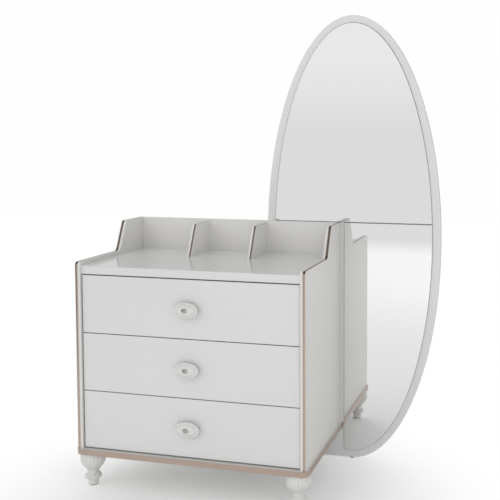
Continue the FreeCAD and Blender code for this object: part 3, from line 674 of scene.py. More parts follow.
RECIPES: dict[Slot, Finish | SprayedLacquer | SilveredGlass | Hardboard] = {
    Slot.WHITE_LACQUER: SprayedLacquer(
        "satin_polyurethane_lacquer", "dddcd9", "d9d8d4", 0.34, 0.0, 2.2, 0.006),
    Slot.GLOSS_LACQUER: SprayedLacquer(
        "polished_polyurethane_lacquer", "dcdcdc", "dadad9", 0.3, 0.6, 3.0, 0.004,
        coat_blur=0.13),
    # Metallised foil under a clear film: a long highlight breaks into lighter and darker
    # threads along its drawn lines, which are 0.1 mm wide and drawn wider to show.
    Slot.ROSE_METAL: Finish(
        "rose_gold_foil_edging", "cdbaae", "b09e91", 1.2, 2.0, (0.22, 0.34), 1.0),
    # Resin paper pressed on chipboard: a fine pearl grain of 0.5 mm, drawn twice as coarse.
    Slot.WHITE_MELAMINE: Finish(
        "pressed_melamine", "e2e1dd", "dcdad5", 1.2, 3.0, (0.48, 0.48), relief=0.03),
    Slot.HARDBOARD: Hardboard("pressed_hardboard", "dfddd8", "8f6a48", "6f4f35"),
    Slot.KNOB_WHITE: SprayedLacquer(
        "enamelled_zinc_casting", "dddddc", "d9d9d7", 0.22, 0.5, 4.0, 0.004),
    # Bright plating is even, with soft patches of sheen: fine ones on a small cast boss,
    # large ones on rolled steel.
    Slot.KNOB_BOSS_METAL: Finish(
        "rose_gold_plated_casting", "c9c2ba", "a59d94", 1.5, 4.0, (0.16, 0.3), 1.0),
    Slot.RUNNER_STEEL: Finish(
        "rolled_zinc_plated_steel", "c3c6c8", "a9adb1", 12.0, 4.0, (0.28, 0.42), 1.0),
    Slot.FITTING_STEEL: Finish(
        "pressed_zinc_plated_steel", "c1c1bf", "9d9d9b", 3.0, 4.0, (0.24, 0.4), 1.0),
    # Beech rod is pale, with short darker flecks along the grain.
    Slot.BEECH: Finish("turned_beech", "d9b98c", "bf9465", 0.8, 4.0, (0.7, 0.7),
                       stretch=(0.15, 1.0, 1.0)),
    # Injection-moulded polyethylene has a fine spark-eroded grain and little gloss.
    Slot.GLIDE_PLASTIC: Finish(
        "moulded_polyethylene", "2a2a2a", "1d1d1d", 0.6, 2.0, (0.55, 0.55), relief=0.03),
    Slot.MIRROR_GLASS: SilveredGlass(
        "silvered_float_glass", "f6f6f6", "7c827f", 1.5, (0.12, 0.3)),
}
# Boards painted a tone lighter than the white lacquer, with the nodes that are made of them:
# painted light that stands in for the fill light on the gallery and on the low part of the mirror
# board. The mirror board's tone is also neutral, and its sideways faces carry painted shade along
# its edge.
LIGHTENED_BOARDS = {
    SprayedLacquer("lacquered_mirror_board_painted_light_edge_shade", "e0e0e0", "dddddd", 0.34, 0.0, 2.2, 0.005,
                   "8c8c8b"): ("mirror_board",),
    SprayedLacquer("lacquered_gallery_board_painted_light", "e4e3e0", "e0dfdb", 0.34, 0.0, 2.2, 0.006):
        ("gallery_back", "gallery_divider_left", "gallery_divider_right"),
}


class FinishShelf:
    """All finishes of the dresser, one for each slot."""

    def __init__(self) -> None:
        """Mixes every finish once."""
        self.materials = {slot: finish.build() for slot, finish in RECIPES.items()}
        self.special: dict[str, Material] = {}
        for finish, nodes in LIGHTENED_BOARDS.items():
            self.special.update(dict.fromkeys(nodes, finish.build()))

    def dress(self, node: Object) -> Slot:
        """Gives a node of the frame the finish of its slot.

        Args:
            node: The node; its first material is named for the slot.

        Returns:
            The slot.
        """
        slot = Slot(node.material_slots[0].material.name.split(".")[0])
        for place in node.material_slots:
            place.material = self.special.get(node.name, self.materials[slot])
        return slot


# --- Carved pieces ---
@dataclass(frozen=True)
class Stretch:
    """One stretch of a turned profile, and how petals run along it.

    Start and end are the places of its first and its last point on the named run.
    """

    points: list[Point]
    run: str = ""
    start: float = 0.0
    end: float = 1.0


@dataclass(frozen=True)
class PetalRow:
    """One row of petals: the run it follows, how many, how deep, and both ends."""

    run: str
    count: int
    depth: float
    round_end: float
    root: float


def even_angles(segments: int, press: float, fine: int = 3600) -> list[float]:
    """Angles that divide a pressed circle into steps of equal length.

    Args:
        segments: How many steps there are.
        press: The oval's height as a share of its width.
        fine: How many short chords measure the oval's length.

    Returns:
        One angle for each step.
    """
    lengths = [0.0]
    for i in range(fine):
        a = 2 * math.pi * (i + 0.5) / fine
        lengths.append(lengths[-1] + math.hypot(math.sin(a), press * math.cos(a)))
    angles, i = [], 0
    for k in range(segments):
        aim = lengths[-1] * k / segments
        while lengths[i + 1] < aim:
            i += 1
        part = (aim - lengths[i]) / (lengths[i + 1] - lengths[i])
        angles.append(2 * math.pi * (i + part) / fine)
    return angles


def turned(name: str, stretches: Sequence[Stretch], segments: int, press: float = 1.0) -> Mesh:
    """Turns a profile round Z into one closed mesh.

    Args:
        name: The mesh's name.
        stretches: The profile from its first point on the axis to its last, as radius and
            height in metres.
        segments: How many steps one turn has.
        press: Share to which the circle is pressed along Y. The steps then keep equal
            lengths round the oval.

    Returns:
        The mesh, with a turn value at each point and a value for each named run.
    """
    runs = sorted({s.run for s in stretches if s.run})
    rows: list[tuple[Point, dict[str, float]]] = []
    for stretch in stretches:
        last = len(stretch.points) - 1
        for i, point in enumerate(stretch.points):
            if rows and math.dist(rows[-1][0], point) < TINY:
                continue
            at = stretch.start + (stretch.end - stretch.start) * i / last
            rows.append((point, {r: at if r == stretch.run else -1.0 for r in runs}))
    angles = even_angles(segments, press)
    points: list[Place] = []
    faces: list[tuple[int, ...]] = []
    rings: list[range] = []
    marks: dict[str, list[float]] = {mark: [] for mark in ("turn", *runs)}
    for (radius, height), values in rows:
        count = 1 if radius < TINY else segments
        rings.append(range(len(points), len(points) + count))
        for k, a in enumerate(angles[:count]):
            points.append((radius * math.cos(a), radius * math.sin(a) * press, height))
            for mark, value in {"turn": k / segments, **values}.items():
                marks[mark].append(value)
    for low, high in zip(rings, rings[1:]):
        for k in range(segments):
            n = (k + 1) % segments
            start = (low[k], low[n]) if len(low) > 1 else (low[0],)
            end = (high[n], high[k]) if len(high) > 1 else (high[0],)
            faces.append(start + end)
    mesh = make_mesh(name, points, faces)
    for mark, values in marks.items():
        mesh.attributes.new(mark, "FLOAT", "POINT").data.foreach_set("value", values)
    return mesh


@dataclass
class TurnedPiece:
    """A turned piece with carved petals, in the place of a plain one."""

    shelf: FinishShelf
    carving: PetalCarving
    steps_per_petal: int = 12

    def carve(self, node: str, profile: Sequence[Stretch], rows: Sequence[PetalRow],
              seat: Matrix, slot: Slot, body: str, press: float = 1.0) -> Object:
        """Turns the piece, cuts its petals and puts it in its place.

        Args:
            node: The plain piece's node.
            profile: The stretches of its outline.
            rows: Its rows of petals, the one with the most first.
            seat: Where it goes.
            slot: Its finish.
            body: The body that it moves with.
            press: The oval's height as a share of its width.

        Returns:
            The carved piece.
        """
        segments = rows[0].count * self.steps_per_petal
        piece = add_object(node + "_carved", turned(node + "_carved", profile, segments, press))
        for row in rows:
            self.carving.apply(piece, Petals=row.count, Depth=row.depth,
                               Round_end=row.round_end, Root=row.root, Turn="turn",
                               Run=row.run, Material=self.shelf.materials[slot])
        piece.data.transform(seat)
        return hand_over(piece, body, slot, node)


@dataclass
class FrontFoot(TurnedPiece):
    """A turned front foot with leaves carved round its bulb and collar."""

    bulb_radius: float = 45.5 * MM
    bulb_drop: float = 25 * MM
    top_radius: float = 41 * MM
    waist_radius: float = 25.5 * MM
    waist_drop: float = 59 * MM
    neck_radius: float = 20.5 * MM
    bead_radius: float = 25 * MM
    bead_height: float = 5 * MM
    bead_steps: int = 8
    collar_radius: float = 30.5 * MM
    tip_radius: float = 18.5 * MM
    tip_height: float = 24 * MM
    collar_height: float = 23 * MM
    collar_rise: float = 9.5 * MM
    collar_edge: float = 2.5 * MM
    neck_height: float = 10 * MM
    glide: float = 3 * MM
    chamfer: float = 1 * MM
    bulb_leaves: PetalRow = PetalRow("petal_run", 20, 2.1 * MM, 0.26, 0.8)
    collar_leaves: PetalRow = PetalRow("leaf_run", 10, 1.8 * MM, 0.45, 0.85)

    def profile(self, height: float) -> list[Stretch]:
        """The foot's profile from the glide up.

        Args:
            height: Floor to the slab's underside.

        Returns:
            Its stretches, with the runs of both rows of leaves.
        """
        neck, tip = self.neck_radius, self.tip_radius
        leaf, petal = self.collar_leaves.run, self.bulb_leaves.run
        collar_top = (neck, self.tip_height + self.collar_height)
        bead_base = (neck, collar_top[1] + self.neck_height)
        bead_edge = ((neck + self.bead_radius) / 2, bead_base[1] + self.bead_height)
        waist = (self.waist_radius, height - self.waist_drop)
        widest = (self.bulb_radius, height - self.bulb_drop)
        top = (self.top_radius, height)
        collar = (self.collar_radius, self.tip_height + self.collar_rise)
        rim = (self.collar_radius, collar[1] + self.collar_edge)
        tip_top = (tip, self.tip_height)
        sole, sole_edge = (tip - self.chamfer, self.glide), (tip, self.glide + self.chamfer)
        steps = self.bead_steps
        bead = [(neck + (self.bead_radius - neck) * math.sin(math.pi * i / steps),
                 bead_base[1] + self.bead_height * i / steps) for i in range(steps)]
        middle = (bead_base[1] + bead_edge[1]) / 2
        bead = [p for p in bead if p[1] <= middle or p[0] > bead_edge[0]]
        return [
            Stretch([(0.0, self.glide), sole]),
            Stretch(divided(sole, sole_edge, 2)),
            Stretch(divided(sole_edge, tip_top, 8)),
            Stretch(eased_arc(collar, tip_top, (0, -1), 8)[::-1]),
            Stretch(divided(collar, rim, 4), leaf, 0.02, 0.16),
            Stretch(divided(rim, collar_top, 18), leaf, 0.16, 1.0),
            Stretch(divided(collar_top, bead_base, 3)),
            Stretch([*bead, bead_edge]),
            Stretch(divided(bead_edge, waist, 3), petal, 1.0, 0.95),
            Stretch(eased_arc(widest, waist, (0, -1), 26)[::-1], petal, 0.95, 0.38),
            Stretch(eased_arc(widest, top, (0, 1), 18), petal, 0.38, -0.06),
            Stretch([top, (0.0, height)]),
        ]

    def build(self, node: str) -> Object:
        """Makes the carved foot in the place of a plain one.

        Args:
            node: The plain foot's node.

        Returns:
            The carved foot.
        """
        low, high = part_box(node)
        middle = (low + high) / 2
        return self.carve(node, self.profile(high.z), (self.bulb_leaves, self.collar_leaves),
                          Matrix.Translation((middle.x, middle.y, 0)), Slot.WHITE_LACQUER,
                          "case")


@dataclass
class DrawerKnob(TurnedPiece):
    """A cast oval knob whose rim is cut into petals round a smooth dome."""

    width: float = 94 * MM
    height: float = 56 * MM
    rose_radius: float = 23 * MM
    rose_thick: float = 3 * MM
    stem_radius: float = 16 * MM
    stem_reach: float = 13 * MM
    undercut: float = 6 * MM
    rim_base: float = 16 * MM
    rim_top: float = 20 * MM
    shoulder: float = 12 * MM
    dome_base: float = 22.5 * MM
    groove: float = 0.8 * MM
    reach: float = 30 * MM
    petals: PetalRow = PetalRow("petal_run", 24, 1.7 * MM, 0.4, 0.9)

    def profile(self) -> list[Stretch]:
        """The knob's profile, from the drawer front out to the dome's top."""
        rim, run, groove = self.width / 2, self.petals.run, self.groove
        dome, base = rim - self.shoulder, self.dome_base
        stem = [(self.rose_radius, 0.0), (self.rose_radius, self.rose_thick),
                (self.stem_radius, self.rose_thick), (self.stem_radius, self.stem_reach),
                (rim - self.undercut, self.stem_reach)]
        shoulder = eased_arc((dome, base), (rim, self.rim_top), (1, 0), 16)[::-1]
        crown = eased_arc((0.0, self.reach), (dome, base), (1, 0), 24)[::-1]
        return [
            Stretch([(0.0, 0.0), stem[0]]),
            *[Stretch(divided(start, end, steps))
              for start, end, steps in zip(stem, stem[1:], (2, 2, 4, 6))],
            Stretch(eased_arc(stem[-1], (rim, self.rim_base), (1, 0), 5)),
            Stretch(divided((rim, self.rim_base), (rim, self.rim_top), 6), run, 0.02, 0.22),
            Stretch(shoulder, run, 0.22, 1.0),
            Stretch([(dome, base), (dome - groove / 2, base - groove),
                     (dome - groove, base - groove),
                     (dome - 1.5 * groove, crown[1][1] - groove / 2)]),
            Stretch(crown[2:]),
        ]

    def build(self, level: Level) -> Object:
        """Makes one drawer's knob in the place of the plain one.

        Args:
            level: Which drawer it is on.

        Returns:
            The knob.
        """
        node = f"{level.value}_drawer_knob"
        low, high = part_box(node)
        middle = (low + high) / 2
        seat = (Matrix.Translation((middle.x, high.y, middle.z))
                @ Matrix.Rotation(math.pi / 2, 4, "X"))
        return self.carve(node, self.profile(), (self.petals,), seat, Slot.KNOB_WHITE,
                          f"{level.value}_drawer", self.height / self.width)


# --- Strips and panes ---
@dataclass
class EdgeTrim:
    """The metal strips in the edges of the side panels and gallery dividers.

    Each is drawn along its edge with a low crown, so that it shows a light and a dark
    thread side by side.
    """

    shelf: FinishShelf
    sweep: ProfileSweep
    arm_rise: float = 683 * MM
    arm_radius: float = 11 * MM
    riser_foot: float = 302 * MM
    riser_foot_radius: float = 20 * MM
    riser_top: float = 358 * MM
    riser_top_radius: float = 13 * MM
    divider_lean: float = 59 * MM
    depth: float = 2 * MM
    sunk: float = 0.3 * MM
    crown: float = 0.25 * MM
    crown_steps: int = 10
    arc_steps: int = 10
    sharp: float = math.radians(40)

    def path(self, low: Vector, high: Vector, divider: bool) -> list[Point]:
        """The edge of a side panel or a divider, from its foot to the rear.

        Args:
            low: The lowest corner of the plain strip.
            high: Its highest corner.
            divider: Whether it is a divider's. A side panel has an arm below its riser.

        Returns:
            Depth and height of its points.
        """
        arm = low.z + self.arm_rise
        corners = [(self.divider_lean, high.z, self.riser_top_radius)] if divider else [
            (0.0, arm, self.arm_radius), (self.riser_foot, arm, self.riser_foot_radius),
            (self.riser_top, high.z, self.riser_top_radius)]
        return rounded([(low.y, low.z, 0.0), *[(low.y + y, z, r) for y, z, r in corners],
                        (high.y, high.z, 0.0)], self.arc_steps)

    def cross_section(self, width: float) -> Object:
        """The strip's closed outline, flat below and crowned above.

        Args:
            width: The strip's width.

        Returns:
            The outline as an object of loose edges.
        """
        half = width / 2
        crown = eased_arc((0.0, -self.crown), (half, self.sunk), (1, 0), self.crown_steps)
        points = [(-half, self.depth), *[(-x, y) for x, y in crown[:0:-1]], *crown,
                  (half, self.depth)]
        count = len(points)
        return add_object("strip_outline", make_mesh(
            "strip_outline", [(x, y, 0.0) for x, y in points],
            edges=[(i, (i + 1) % count) for i in range(count)]))

    def build(self, node: str, divider: bool) -> Object:
        """Draws the strips of one node.

        Args:
            node: The node that holds the plain strips.
            divider: Whether they are dividers' strips.

        Returns:
            The crowned strips.
        """
        points: list[Place] = []
        edges: list[tuple[int, int]] = []
        for solid in solids_of(node):
            low, high = limits(solid)
            start = len(points)
            points += [((low.x + high.x) / 2, y, z) for y, z in self.path(low, high, divider)]
            edges += [(i, i + 1) for i in range(start, len(points) - 1)]
        outline = self.cross_section(high.x - low.x)
        piece = add_object(node + "_crowned", make_mesh(node + "_crowned", points, edges=edges))
        self.sweep.apply(piece, Profile=outline, Material=self.shelf.materials[Slot.ROSE_METAL])
        bpy.data.objects.remove(outline)
        piece.data.shade_smooth()
        piece.data.set_sharp_from_angle(angle=self.sharp)
        return hand_over(piece, "case", Slot.ROSE_METAL, node)


@dataclass
class MirrorGlass:
    """The mirror's two panes, with a ground arris round their faces."""

    shelf: FinishShelf
    arris: float = 1.1 * MM
    merge: float = 0.001 * MM
    flat: float = math.radians(1)

    def build(self, node: str) -> Object:
        """Grinds the front edges of one pane.

        Args:
            node: The plain pane's node.

        Returns:
            The ground pane.
        """
        mesh = bpy.data.meshes.new(node + "_ground")
        work = bmesh.new()
        work.from_mesh(frame["nodes"][node].data)
        bmesh.ops.remove_doubles(work, verts=work.verts, dist=self.merge)
        bmesh.ops.dissolve_limit(work, angle_limit=self.flat, verts=work.verts, edges=work.edges)
        rim = [e for e in work.edges
               if sorted(f.normal.y < FRONT_TILT for f in e.link_faces) == [False, True]]
        bmesh.ops.bevel(work, geom=rim, offset=self.arris, segments=1, affect="EDGES")
        bmesh.ops.triangulate(work, faces=work.faces)
        self.sort_by_place(work)
        work.to_mesh(mesh)
        work.free()
        mesh.materials.append(self.shelf.materials[Slot.MIRROR_GLASS])
        return hand_over(add_object(node + "_ground", mesh), "case", Slot.MIRROR_GLASS, node)

    def sort_by_place(self, work: bmesh.types.BMesh) -> None:
        """Gives points and faces a fixed order, because a bevel leaves them in any order.

        Args:
            work: The ground pane.
        """
        points = sorted(work.verts, key=lambda vert: tuple(vert.co))
        work.verts.sort(key={vert: float(i) for i, vert in enumerate(points)}.get)
        work.verts.index_update()
        faces = sorted(work.faces, key=lambda face: sorted(vert.index for vert in face.verts))
        work.faces.sort(key={face: float(i) for i, face in enumerate(faces)}.get)


# --- Runners and fasteners ---
@dataclass
class RunnerBalls:
    """Balls along the cages of one drawer's runners."""

    shelf: FinishShelf
    rows: BallRows
    radius: float = 1.1 * MM
    pitch: float = 9.0 * MM
    end: float = 6.0 * MM
    cage_height: float = 4.0 * MM

    def build(self, level: Level) -> Object:
        """Sets the balls of one pair of runners.

        Args:
            level: Which drawer they carry.

        Returns:
            One piece with all their balls.
        """
        starts, count = [], 1
        for solid in solids_of(f"{level.value}_runner_middle_rails"):
            low, high = limits(solid)
            if high.z - low.z > self.cage_height:
                continue
            count = int((high.y - low.y - 2 * self.end) / self.pitch) + 1
            first = (low.y + high.y - (count - 1) * self.pitch) / 2
            starts.append(((low.x + high.x) / 2, first, (low.z + high.z) / 2))
        name = f"{level.value}_runner_balls"
        piece = add_object(name, make_mesh(name, starts))
        self.rows.apply(piece, Count=count, Pitch=self.pitch, Radius=self.radius,
                        Material=self.shelf.materials[Slot.RUNNER_STEEL])
        return hand_over(piece, f"{level.value}_middle_rails", Slot.RUNNER_STEEL)


@dataclass(frozen=True)
class Fastener:
    """One kind of fastener: its outline behind its face, and its recess.

    Sizes are in metres. The face lies at the origin and looks along +Z.
    """

    name: str
    radius: float
    outline: tuple[Point, ...]
    recess_arm: float
    recess_width: float
    recess_depth: float
    recess_taper: float = 0.7
    segments: int = 24

    def mesh(self) -> Mesh:
        """Builds the closed mesh: face with a cross recess, then the body.

        Returns:
            The mesh.
        """
        arm, half = self.recess_arm, self.recess_width / 2
        cross = []
        for k in range(4):
            c, s = round(math.cos(k * math.pi / 2)), round(math.sin(k * math.pi / 2))
            cross += [(x * c - y * s, x * s + y * c)
                      for x, y in ((arm, -half), (arm, half), (half, half))]
        n, w, taper = self.segments, len(cross), self.recess_taper
        turn = [(math.cos(2 * math.pi * i / n), math.sin(2 * math.pi * i / n)) for i in range(n)]
        points = [(c * self.radius, s * self.radius, 0.0) for c, s in turn]
        points += [(x, y, 0.0) for x, y in cross]
        points += [(x * taper, y * taper, -self.recess_depth) for x, y in cross]
        faces = [tuple(t) for t in tessellate_polygon(
            [[Vector(p) for p in points[:n]], [Vector(p) for p in points[n:n + w]]])]
        for i, face in enumerate(faces):
            a, b, c = [Vector(points[j]) for j in face]
            if (b - a).cross(c - a).z < 0:
                faces[i] = face[::-1]
        for i in range(w):
            j = (i + 1) % w
            faces.append((n + i, n + w + i, n + w + j, n + j))
        faces.append(tuple(n + w + i for i in range(w)))
        ring = list(range(n))
        for radius, depth in self.outline:
            start = len(points)
            if radius < TINY:
                points.append((0.0, 0.0, -depth))
                faces += [(ring[(i + 1) % n], ring[i], start) for i in range(n)]
                break
            points += [(c * radius, s * radius, -depth) for c, s in turn]
            after = list(range(start, start + n))
            faces += [(ring[(i + 1) % n], ring[i], after[i], after[(i + 1) % n])
                      for i in range(n)]
            ring = after
        return make_mesh(self.name, points, faces, smooth=False)


def threaded(core: float, crest: float, start: float, end: float,
             pitch: float) -> tuple[Point, ...]:
    """Rings of a screw's thread, from under its head to its point.

    Args:
        core: Radius between the threads.
        crest: Radius over the threads.
        start: Depth at which the thread begins.
        end: Depth of the screw's point.
        pitch: Distance from crest to crest.

    Returns:
        Radius and depth of each ring.
    """
    rings: list[Point] = []
    root, rise = 0.55 * pitch, 0.8 * pitch
    turns = int((end - start - 2 * crest) / pitch)
    for i in range(turns):
        at = start + i * pitch
        rings += [(core, at), (core, at + root), (crest, at + rise)]
    return (*rings, (core, start + turns * pitch), (0.0, end))


BOARD_SCREW = Fastener(
    "board_screw", 4.2 * MM,
    ((2.0 * MM, 3.0 * MM), *threaded(1.4 * MM, 2.0 * MM, 3.0 * MM, 32 * MM, 2.0 * MM)),
    2.1 * MM, 1.0 * MM, 2.0 * MM)
RAIL_SCREW = Fastener(
    "rail_screw", 3.6 * MM,
    ((1.75 * MM, 2.2 * MM), *threaded(1.2 * MM, 1.75 * MM, 2.2 * MM, 12 * MM, 1.6 * MM)),
    1.9 * MM, 0.9 * MM, 1.6 * MM)
CAM_LOCK = Fastener(
    "cam_lock", 7.5 * MM, ((7.5 * MM, 12.5 * MM), (0.0, 12.5 * MM)),
    3.6 * MM, 1.7 * MM, 3.0 * MM)


@dataclass
class FastenerSet:
    """Detailed fasteners of the case in the places of a node's plain ones."""

    shelf: FinishShelf
    spread: FastenerSpread
    head_share: float = 0.49

    def aims(self, node: str, head: Head) -> list[tuple[Vector, Vector]]:
        """Finds where a node's fasteners show and which way they look.

        Args:
            node: The node that holds them as loose solids.
            head: Which of their ends shows.

        Returns:
            The middle of the visible face and its direction, for each fastener.
        """
        middle = sum(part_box("base_slab"), Vector()) / 2
        found = []
        for solid in solids_of(node):
            low, high = limits(solid)
            spans, centre = list(high - low), (low + high) / 2
            gaps = [abs(spans[(i + 1) % 3] - spans[(i + 2) % 3]) for i in range(3)]
            axis = gaps.index(min(gaps))
            out = Vector()
            if head is Head.WIDE_END:
                b, c = (axis + 1) % 3, (axis + 2) % 3
                least = max(spans[b], spans[c]) * self.head_share
                wide = [p[axis] for p in solid
                        if math.hypot(p[b] - centre[b], p[c] - centre[c]) > least]
                out[axis] = 1 if sum(wide) / len(wide) > centre[axis] else -1
            else:
                out[axis] = (-math.copysign(1, centre.x - middle.x), 1, -1)[axis]
            face = centre.copy()
            face[axis] = high[axis] if out[axis] > 0 else low[axis]
            found.append((face, out))
        return found

    def build(self, name: str, node: str, kind: Fastener, head: Head) -> Object:
        """Sets one kind of fastener in the places of one node's.

        Args:
            name: The new piece's name.
            node: The node that it stands for.
            kind: The fastener.
            head: Which end of the plain ones shows.

        Returns:
            The piece.
        """
        places = self.aims(node, head)
        mesh = make_mesh(name, [face for face, _ in places])
        mesh.attributes.new("aim", "FLOAT_VECTOR", "POINT").data.foreach_set(
            "vector", [c for _, out in places for c in out])
        piece = add_object(name, mesh)
        source = add_object(kind.name + "_source", kind.mesh())
        self.spread.apply(piece, Fastener=source,
                          Material=self.shelf.materials[Slot.FITTING_STEEL])
        bpy.data.objects.remove(source)
        return hand_over(piece, "case", Slot.FITTING_STEEL, node)


# --- Studio ---
@dataclass(frozen=True)
class SoftLamp:
    """A square lamp behind a large diffuser, aimed at the object."""

    name: str
    place: Place
    size: float
    power: float
    aim: Place = (0.0, 0.0, 0.5)

    def hang(self) -> None:
        """Puts the lamp in its place."""
        lamp = bpy.data.lights.new(self.name, "AREA")
        lamp.size = self.size
        lamp.energy = self.power
        holder = add_object(self.name, lamp)
        holder.location = self.place
        way = Vector(self.aim) - holder.location
        holder.rotation_euler = way.to_track_quat("-Z", "Y").to_euler()
        holder.visible_glossy = False


@dataclass
class Studio:
    """Pale floor, white surroundings, two soft lamps and the camera."""

    eye: Place = (0.99845, -2.96121, 1.29426)
    turn: Place = (86.19, 0.0, 14.7)
    lens: float = 61.227
    sensor: float = 36.0
    nearest: float = 0.05
    shift: Point = (-0.14, -0.124)
    floor_tones: tuple[str, str] = ("f9f9f9", "fbfbfb")
    floor_grain: float = 30
    floor_roughness: float = 0.9
    floor_half: float = 9.0
    floor_front: float = -6.7
    fade_start: float = -5.1
    fade_depth: float = -0.23
    lamps: tuple[SoftLamp, ...] = (
        SoftLamp("soft_box_left", (-3.8, -5.0, 4.4), 4.0, 48.0),
        SoftLamp("soft_box_low", (1.4, -4.4, 0.9), 1.8, 18.5))
    ambient: float = 0.795
    room: tuple[tuple[float, str], ...] = (
        (0.0, "e3e3e3"), (0.08, "f1f1f1"), (0.18, "f0f0f0"), (0.34, "6a6a6a"),
        (0.48, "6a6a6a"), (0.62, "b4b4b4"), (0.78, "585858"), (1.0, "484848"))
    dim_side: Place = (-0.8, -0.6, 0.0)
    dim_edge: Point = (0.82, 0.95)
    dim_least: float = 0.4
    glow_middle: Place = (-0.05, -0.28, 0.0)
    glow_seen: Place = (0.3, 1.05, 0.15)
    glow_mirrored: Place = (1.0, 5.0, 0.0)

    def seen(self, tree: NodeTree, way: NodeSocket) -> tuple[NodeSocket, ...]:
        """Tells apart how the room is seen, and how light it is in one direction.

        Args:
            tree: The tree that gets the nodes.
            way: The direction, of any length.

        Returns:
            Whether straight or through glass, whether mirrored, and the light: less
            than 1 only towards the dim side where metal or lacquer mirrors it softly.
        """
        path = add_node(tree, "ShaderNodeLightPath").outputs
        direct = add_node(tree, "ShaderNodeMath", {
            0: path["Is Camera Ray"], 1: path["Is Transmission Ray"]}, operation="MAXIMUM")
        soft = add_node(tree, "ShaderNodeMath", {
            0: path["Is Glossy Ray"], 1: path["Is Singular Ray"]},
            operation="SUBTRACT", use_clamp=True)
        unit = add_node(tree, "ShaderNodeVectorMath", {0: way}, operation="NORMALIZE")
        share = add_node(tree, "ShaderNodeVectorMath", {
            0: unit.outputs[0], 1: self.dim_side}, operation="DOT_PRODUCT")
        near, end = self.dim_edge
        fall = add_node(tree, "ShaderNodeMapRange", {
            "Value": share.outputs["Value"], 1: near, 2: end, 3: 0.0,
            4: self.dim_least - 1.0}, interpolation_type="SMOOTHSTEP")
        light = add_node(tree, "ShaderNodeMath", {
            0: soft.outputs[0], 1: fall.outputs[0], 2: 1.0}, operation="MULTIPLY_ADD")
        return direct.outputs[0], path["Is Glossy Ray"], light.outputs[0]

    def floor(self) -> None:
        """Lays the pale floor, which turns into the white around it."""
        h, front = self.floor_half, self.floor_front
        mesh = make_mesh("studio_floor", [(-h, front, 0), (h, front, 0), (h, h, 0),
                                          (-h, h, 0)], [(0, 1, 2, 3)])
        material, tree, shader, place = new_material("matt_painted_floor")
        paint = mottled(tree, place, self.floor_grain, 2.0, *self.floor_tones)[1]
        tree.links.new(paint, shader.inputs["Base Color"])
        shader.inputs["Roughness"].default_value = self.floor_roughness
        shader.inputs["Specular IOR Level"].default_value = 0.0
        direct, glossy, light = self.seen(tree, place)
        # Away from the object, the floor glows like the white around it. In the mirror,
        # it fades towards its front edge.
        away = add_node(tree, "ShaderNodeVectorMath", {0: place, 1: self.glow_middle},
                        operation="DISTANCE").outputs["Value"]
        depth = add_node(tree, "ShaderNodeSeparateXYZ", {0: place}).outputs["Y"]
        far, mirrored, fall = [
            add_node(tree, "ShaderNodeMapRange",
                     {"Value": value, 1: near, 2: end, 3: least, 4: most},
                     interpolation_type="SMOOTHSTEP").outputs[0]
            for value, near, end, least, most in (
                (away, *self.glow_seen, 1.0), (away, *self.glow_mirrored, 1.0),
                (depth, front, self.fade_start, self.fade_depth, 0.0))]
        share, strength = [
            add_node(tree, "ShaderNodeMath", {0: glossy, 1: amount, 2: base},
                     operation="MULTIPLY_ADD").outputs[0]
            for amount, base in (
                (mirrored, add_node(tree, "ShaderNodeMath", {0: far, 1: direct},
                                    operation="MULTIPLY").outputs[0]),
                (fall, light))]
        white = add_node(tree, "ShaderNodeEmission", {"Strength": strength})
        mixed = add_node(tree, "ShaderNodeMixShader", {
            0: share, 1: shader.outputs[0], 2: white.outputs[0]})
        tree.links.new(mixed.outputs[0], tree.nodes["Material Output"].inputs["Surface"])
        mesh.materials.append(material)
        add_object("studio_floor", mesh)

    def surroundings(self) -> None:
        """Sets the world: white where the eye sees it, pale grey in the mirror."""
        world = bpy.data.worlds.new("studio_room")
        bpy.context.scene.world = world
        world.use_nodes = True
        tree = world.node_tree
        tree.nodes.clear()
        way = add_node(tree, "ShaderNodeTexCoord").outputs["Generated"]
        height = add_node(tree, "ShaderNodeSeparateXYZ", {0: way}).outputs["Z"]
        room = add_node(tree, "ShaderNodeValToRGB", {0: height})
        ramp = room.color_ramp
        for i, (rise, code) in enumerate(self.room):
            stop = ramp.elements[i] if i < 2 else ramp.elements.new(rise)
            stop.position = rise
            stop.color = linear(code)
        direct, glossy, light = self.seen(tree, way)
        lamp, wall, white = [
            add_node(tree, "ShaderNodeBackground",
                     {"Color": colour, "Strength": strength}).outputs[0]
            for colour, strength in (
                (linear("ffffff"), self.ambient),
                (room.outputs[0], light),
                (linear("fefefe"), 1.0))]
        unseen = add_node(tree, "ShaderNodeMixShader", {0: glossy, 1: lamp, 2: wall})
        whole = add_node(tree, "ShaderNodeMixShader", {0: direct, 1: unseen.outputs[0], 2: white})
        add_node(tree, "ShaderNodeOutputWorld", {"Surface": whole.outputs[0]})

    def camera(self) -> None:
        """Sets up the camera."""
        data = bpy.data.cameras.new("studio_camera")
        data.lens = self.lens
        data.sensor_width = self.sensor
        data.shift_x, data.shift_y = self.shift
        data.clip_start = self.nearest
        holder = add_object("studio_camera", data)
        holder.location = self.eye
        holder.rotation_euler = [math.radians(a) for a in self.turn]
        bpy.context.scene.camera = holder

    def build(self) -> None:
        """Sets up the whole studio."""
        bpy.context.scene.view_settings.view_transform = "Standard"
        self.floor()
        self.surroundings()
        for lamp in self.lamps:
            lamp.hang()
        self.camera()


# --- The dresser ---
def report(piece: Object) -> None:
    """Logs one piece with its size in triangles."""
    triangles = sum(len(p.vertices) - 2 for p in piece.data.polygons)
    LOG.info("%s: %d triangles", piece.name, triangles)


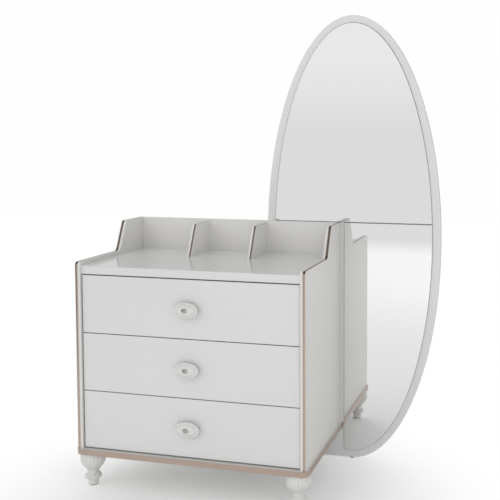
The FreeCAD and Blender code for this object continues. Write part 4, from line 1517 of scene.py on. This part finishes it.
def main() -> None:
    """Builds and dresses every piece."""
    logging.basicConfig(level=logging.INFO, format="%(name)s %(message)s")
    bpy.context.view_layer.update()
    shelf, carving = FinishShelf(), PetalCarving()
    for name, node in sorted(frame["nodes"].items()):
        LOG.info("%s: %s", name, shelf.dress(node).value)
    trim = EdgeTrim(shelf, ProfileSweep())
    for node in ("side_inlay_left", "side_inlay_right", "divider_inlays"):
        report(trim.build(node, divider=node == "divider_inlays"))
    foot = FrontFoot(shelf, carving)
    for side in ("left", "right"):
        report(foot.build(f"foot_front_{side}"))
    glass = MirrorGlass(shelf)
    for node in ("mirror_glass_upper", "mirror_glass_lower"):
        report(glass.build(node))
    knob, balls = DrawerKnob(shelf, carving), RunnerBalls(shelf, BallRows())
    for level in Level:
        report(knob.build(level))
        report(balls.build(level))
    fasteners = FastenerSet(shelf, FastenerSpread())
    for name, node, kind, head in (
            ("mirror_board_screws", "mirror_screws", BOARD_SCREW, Head.WIDE_END),
            ("cam_locks", "cam_discs", CAM_LOCK, Head.OPEN_FACE),
            ("case_rail_screws", "runner_screws", RAIL_SCREW, Head.WIDE_END)):
        report(fasteners.build(name, node, kind, head))
    Studio().build()


if __name__ == "__main__":
    main()
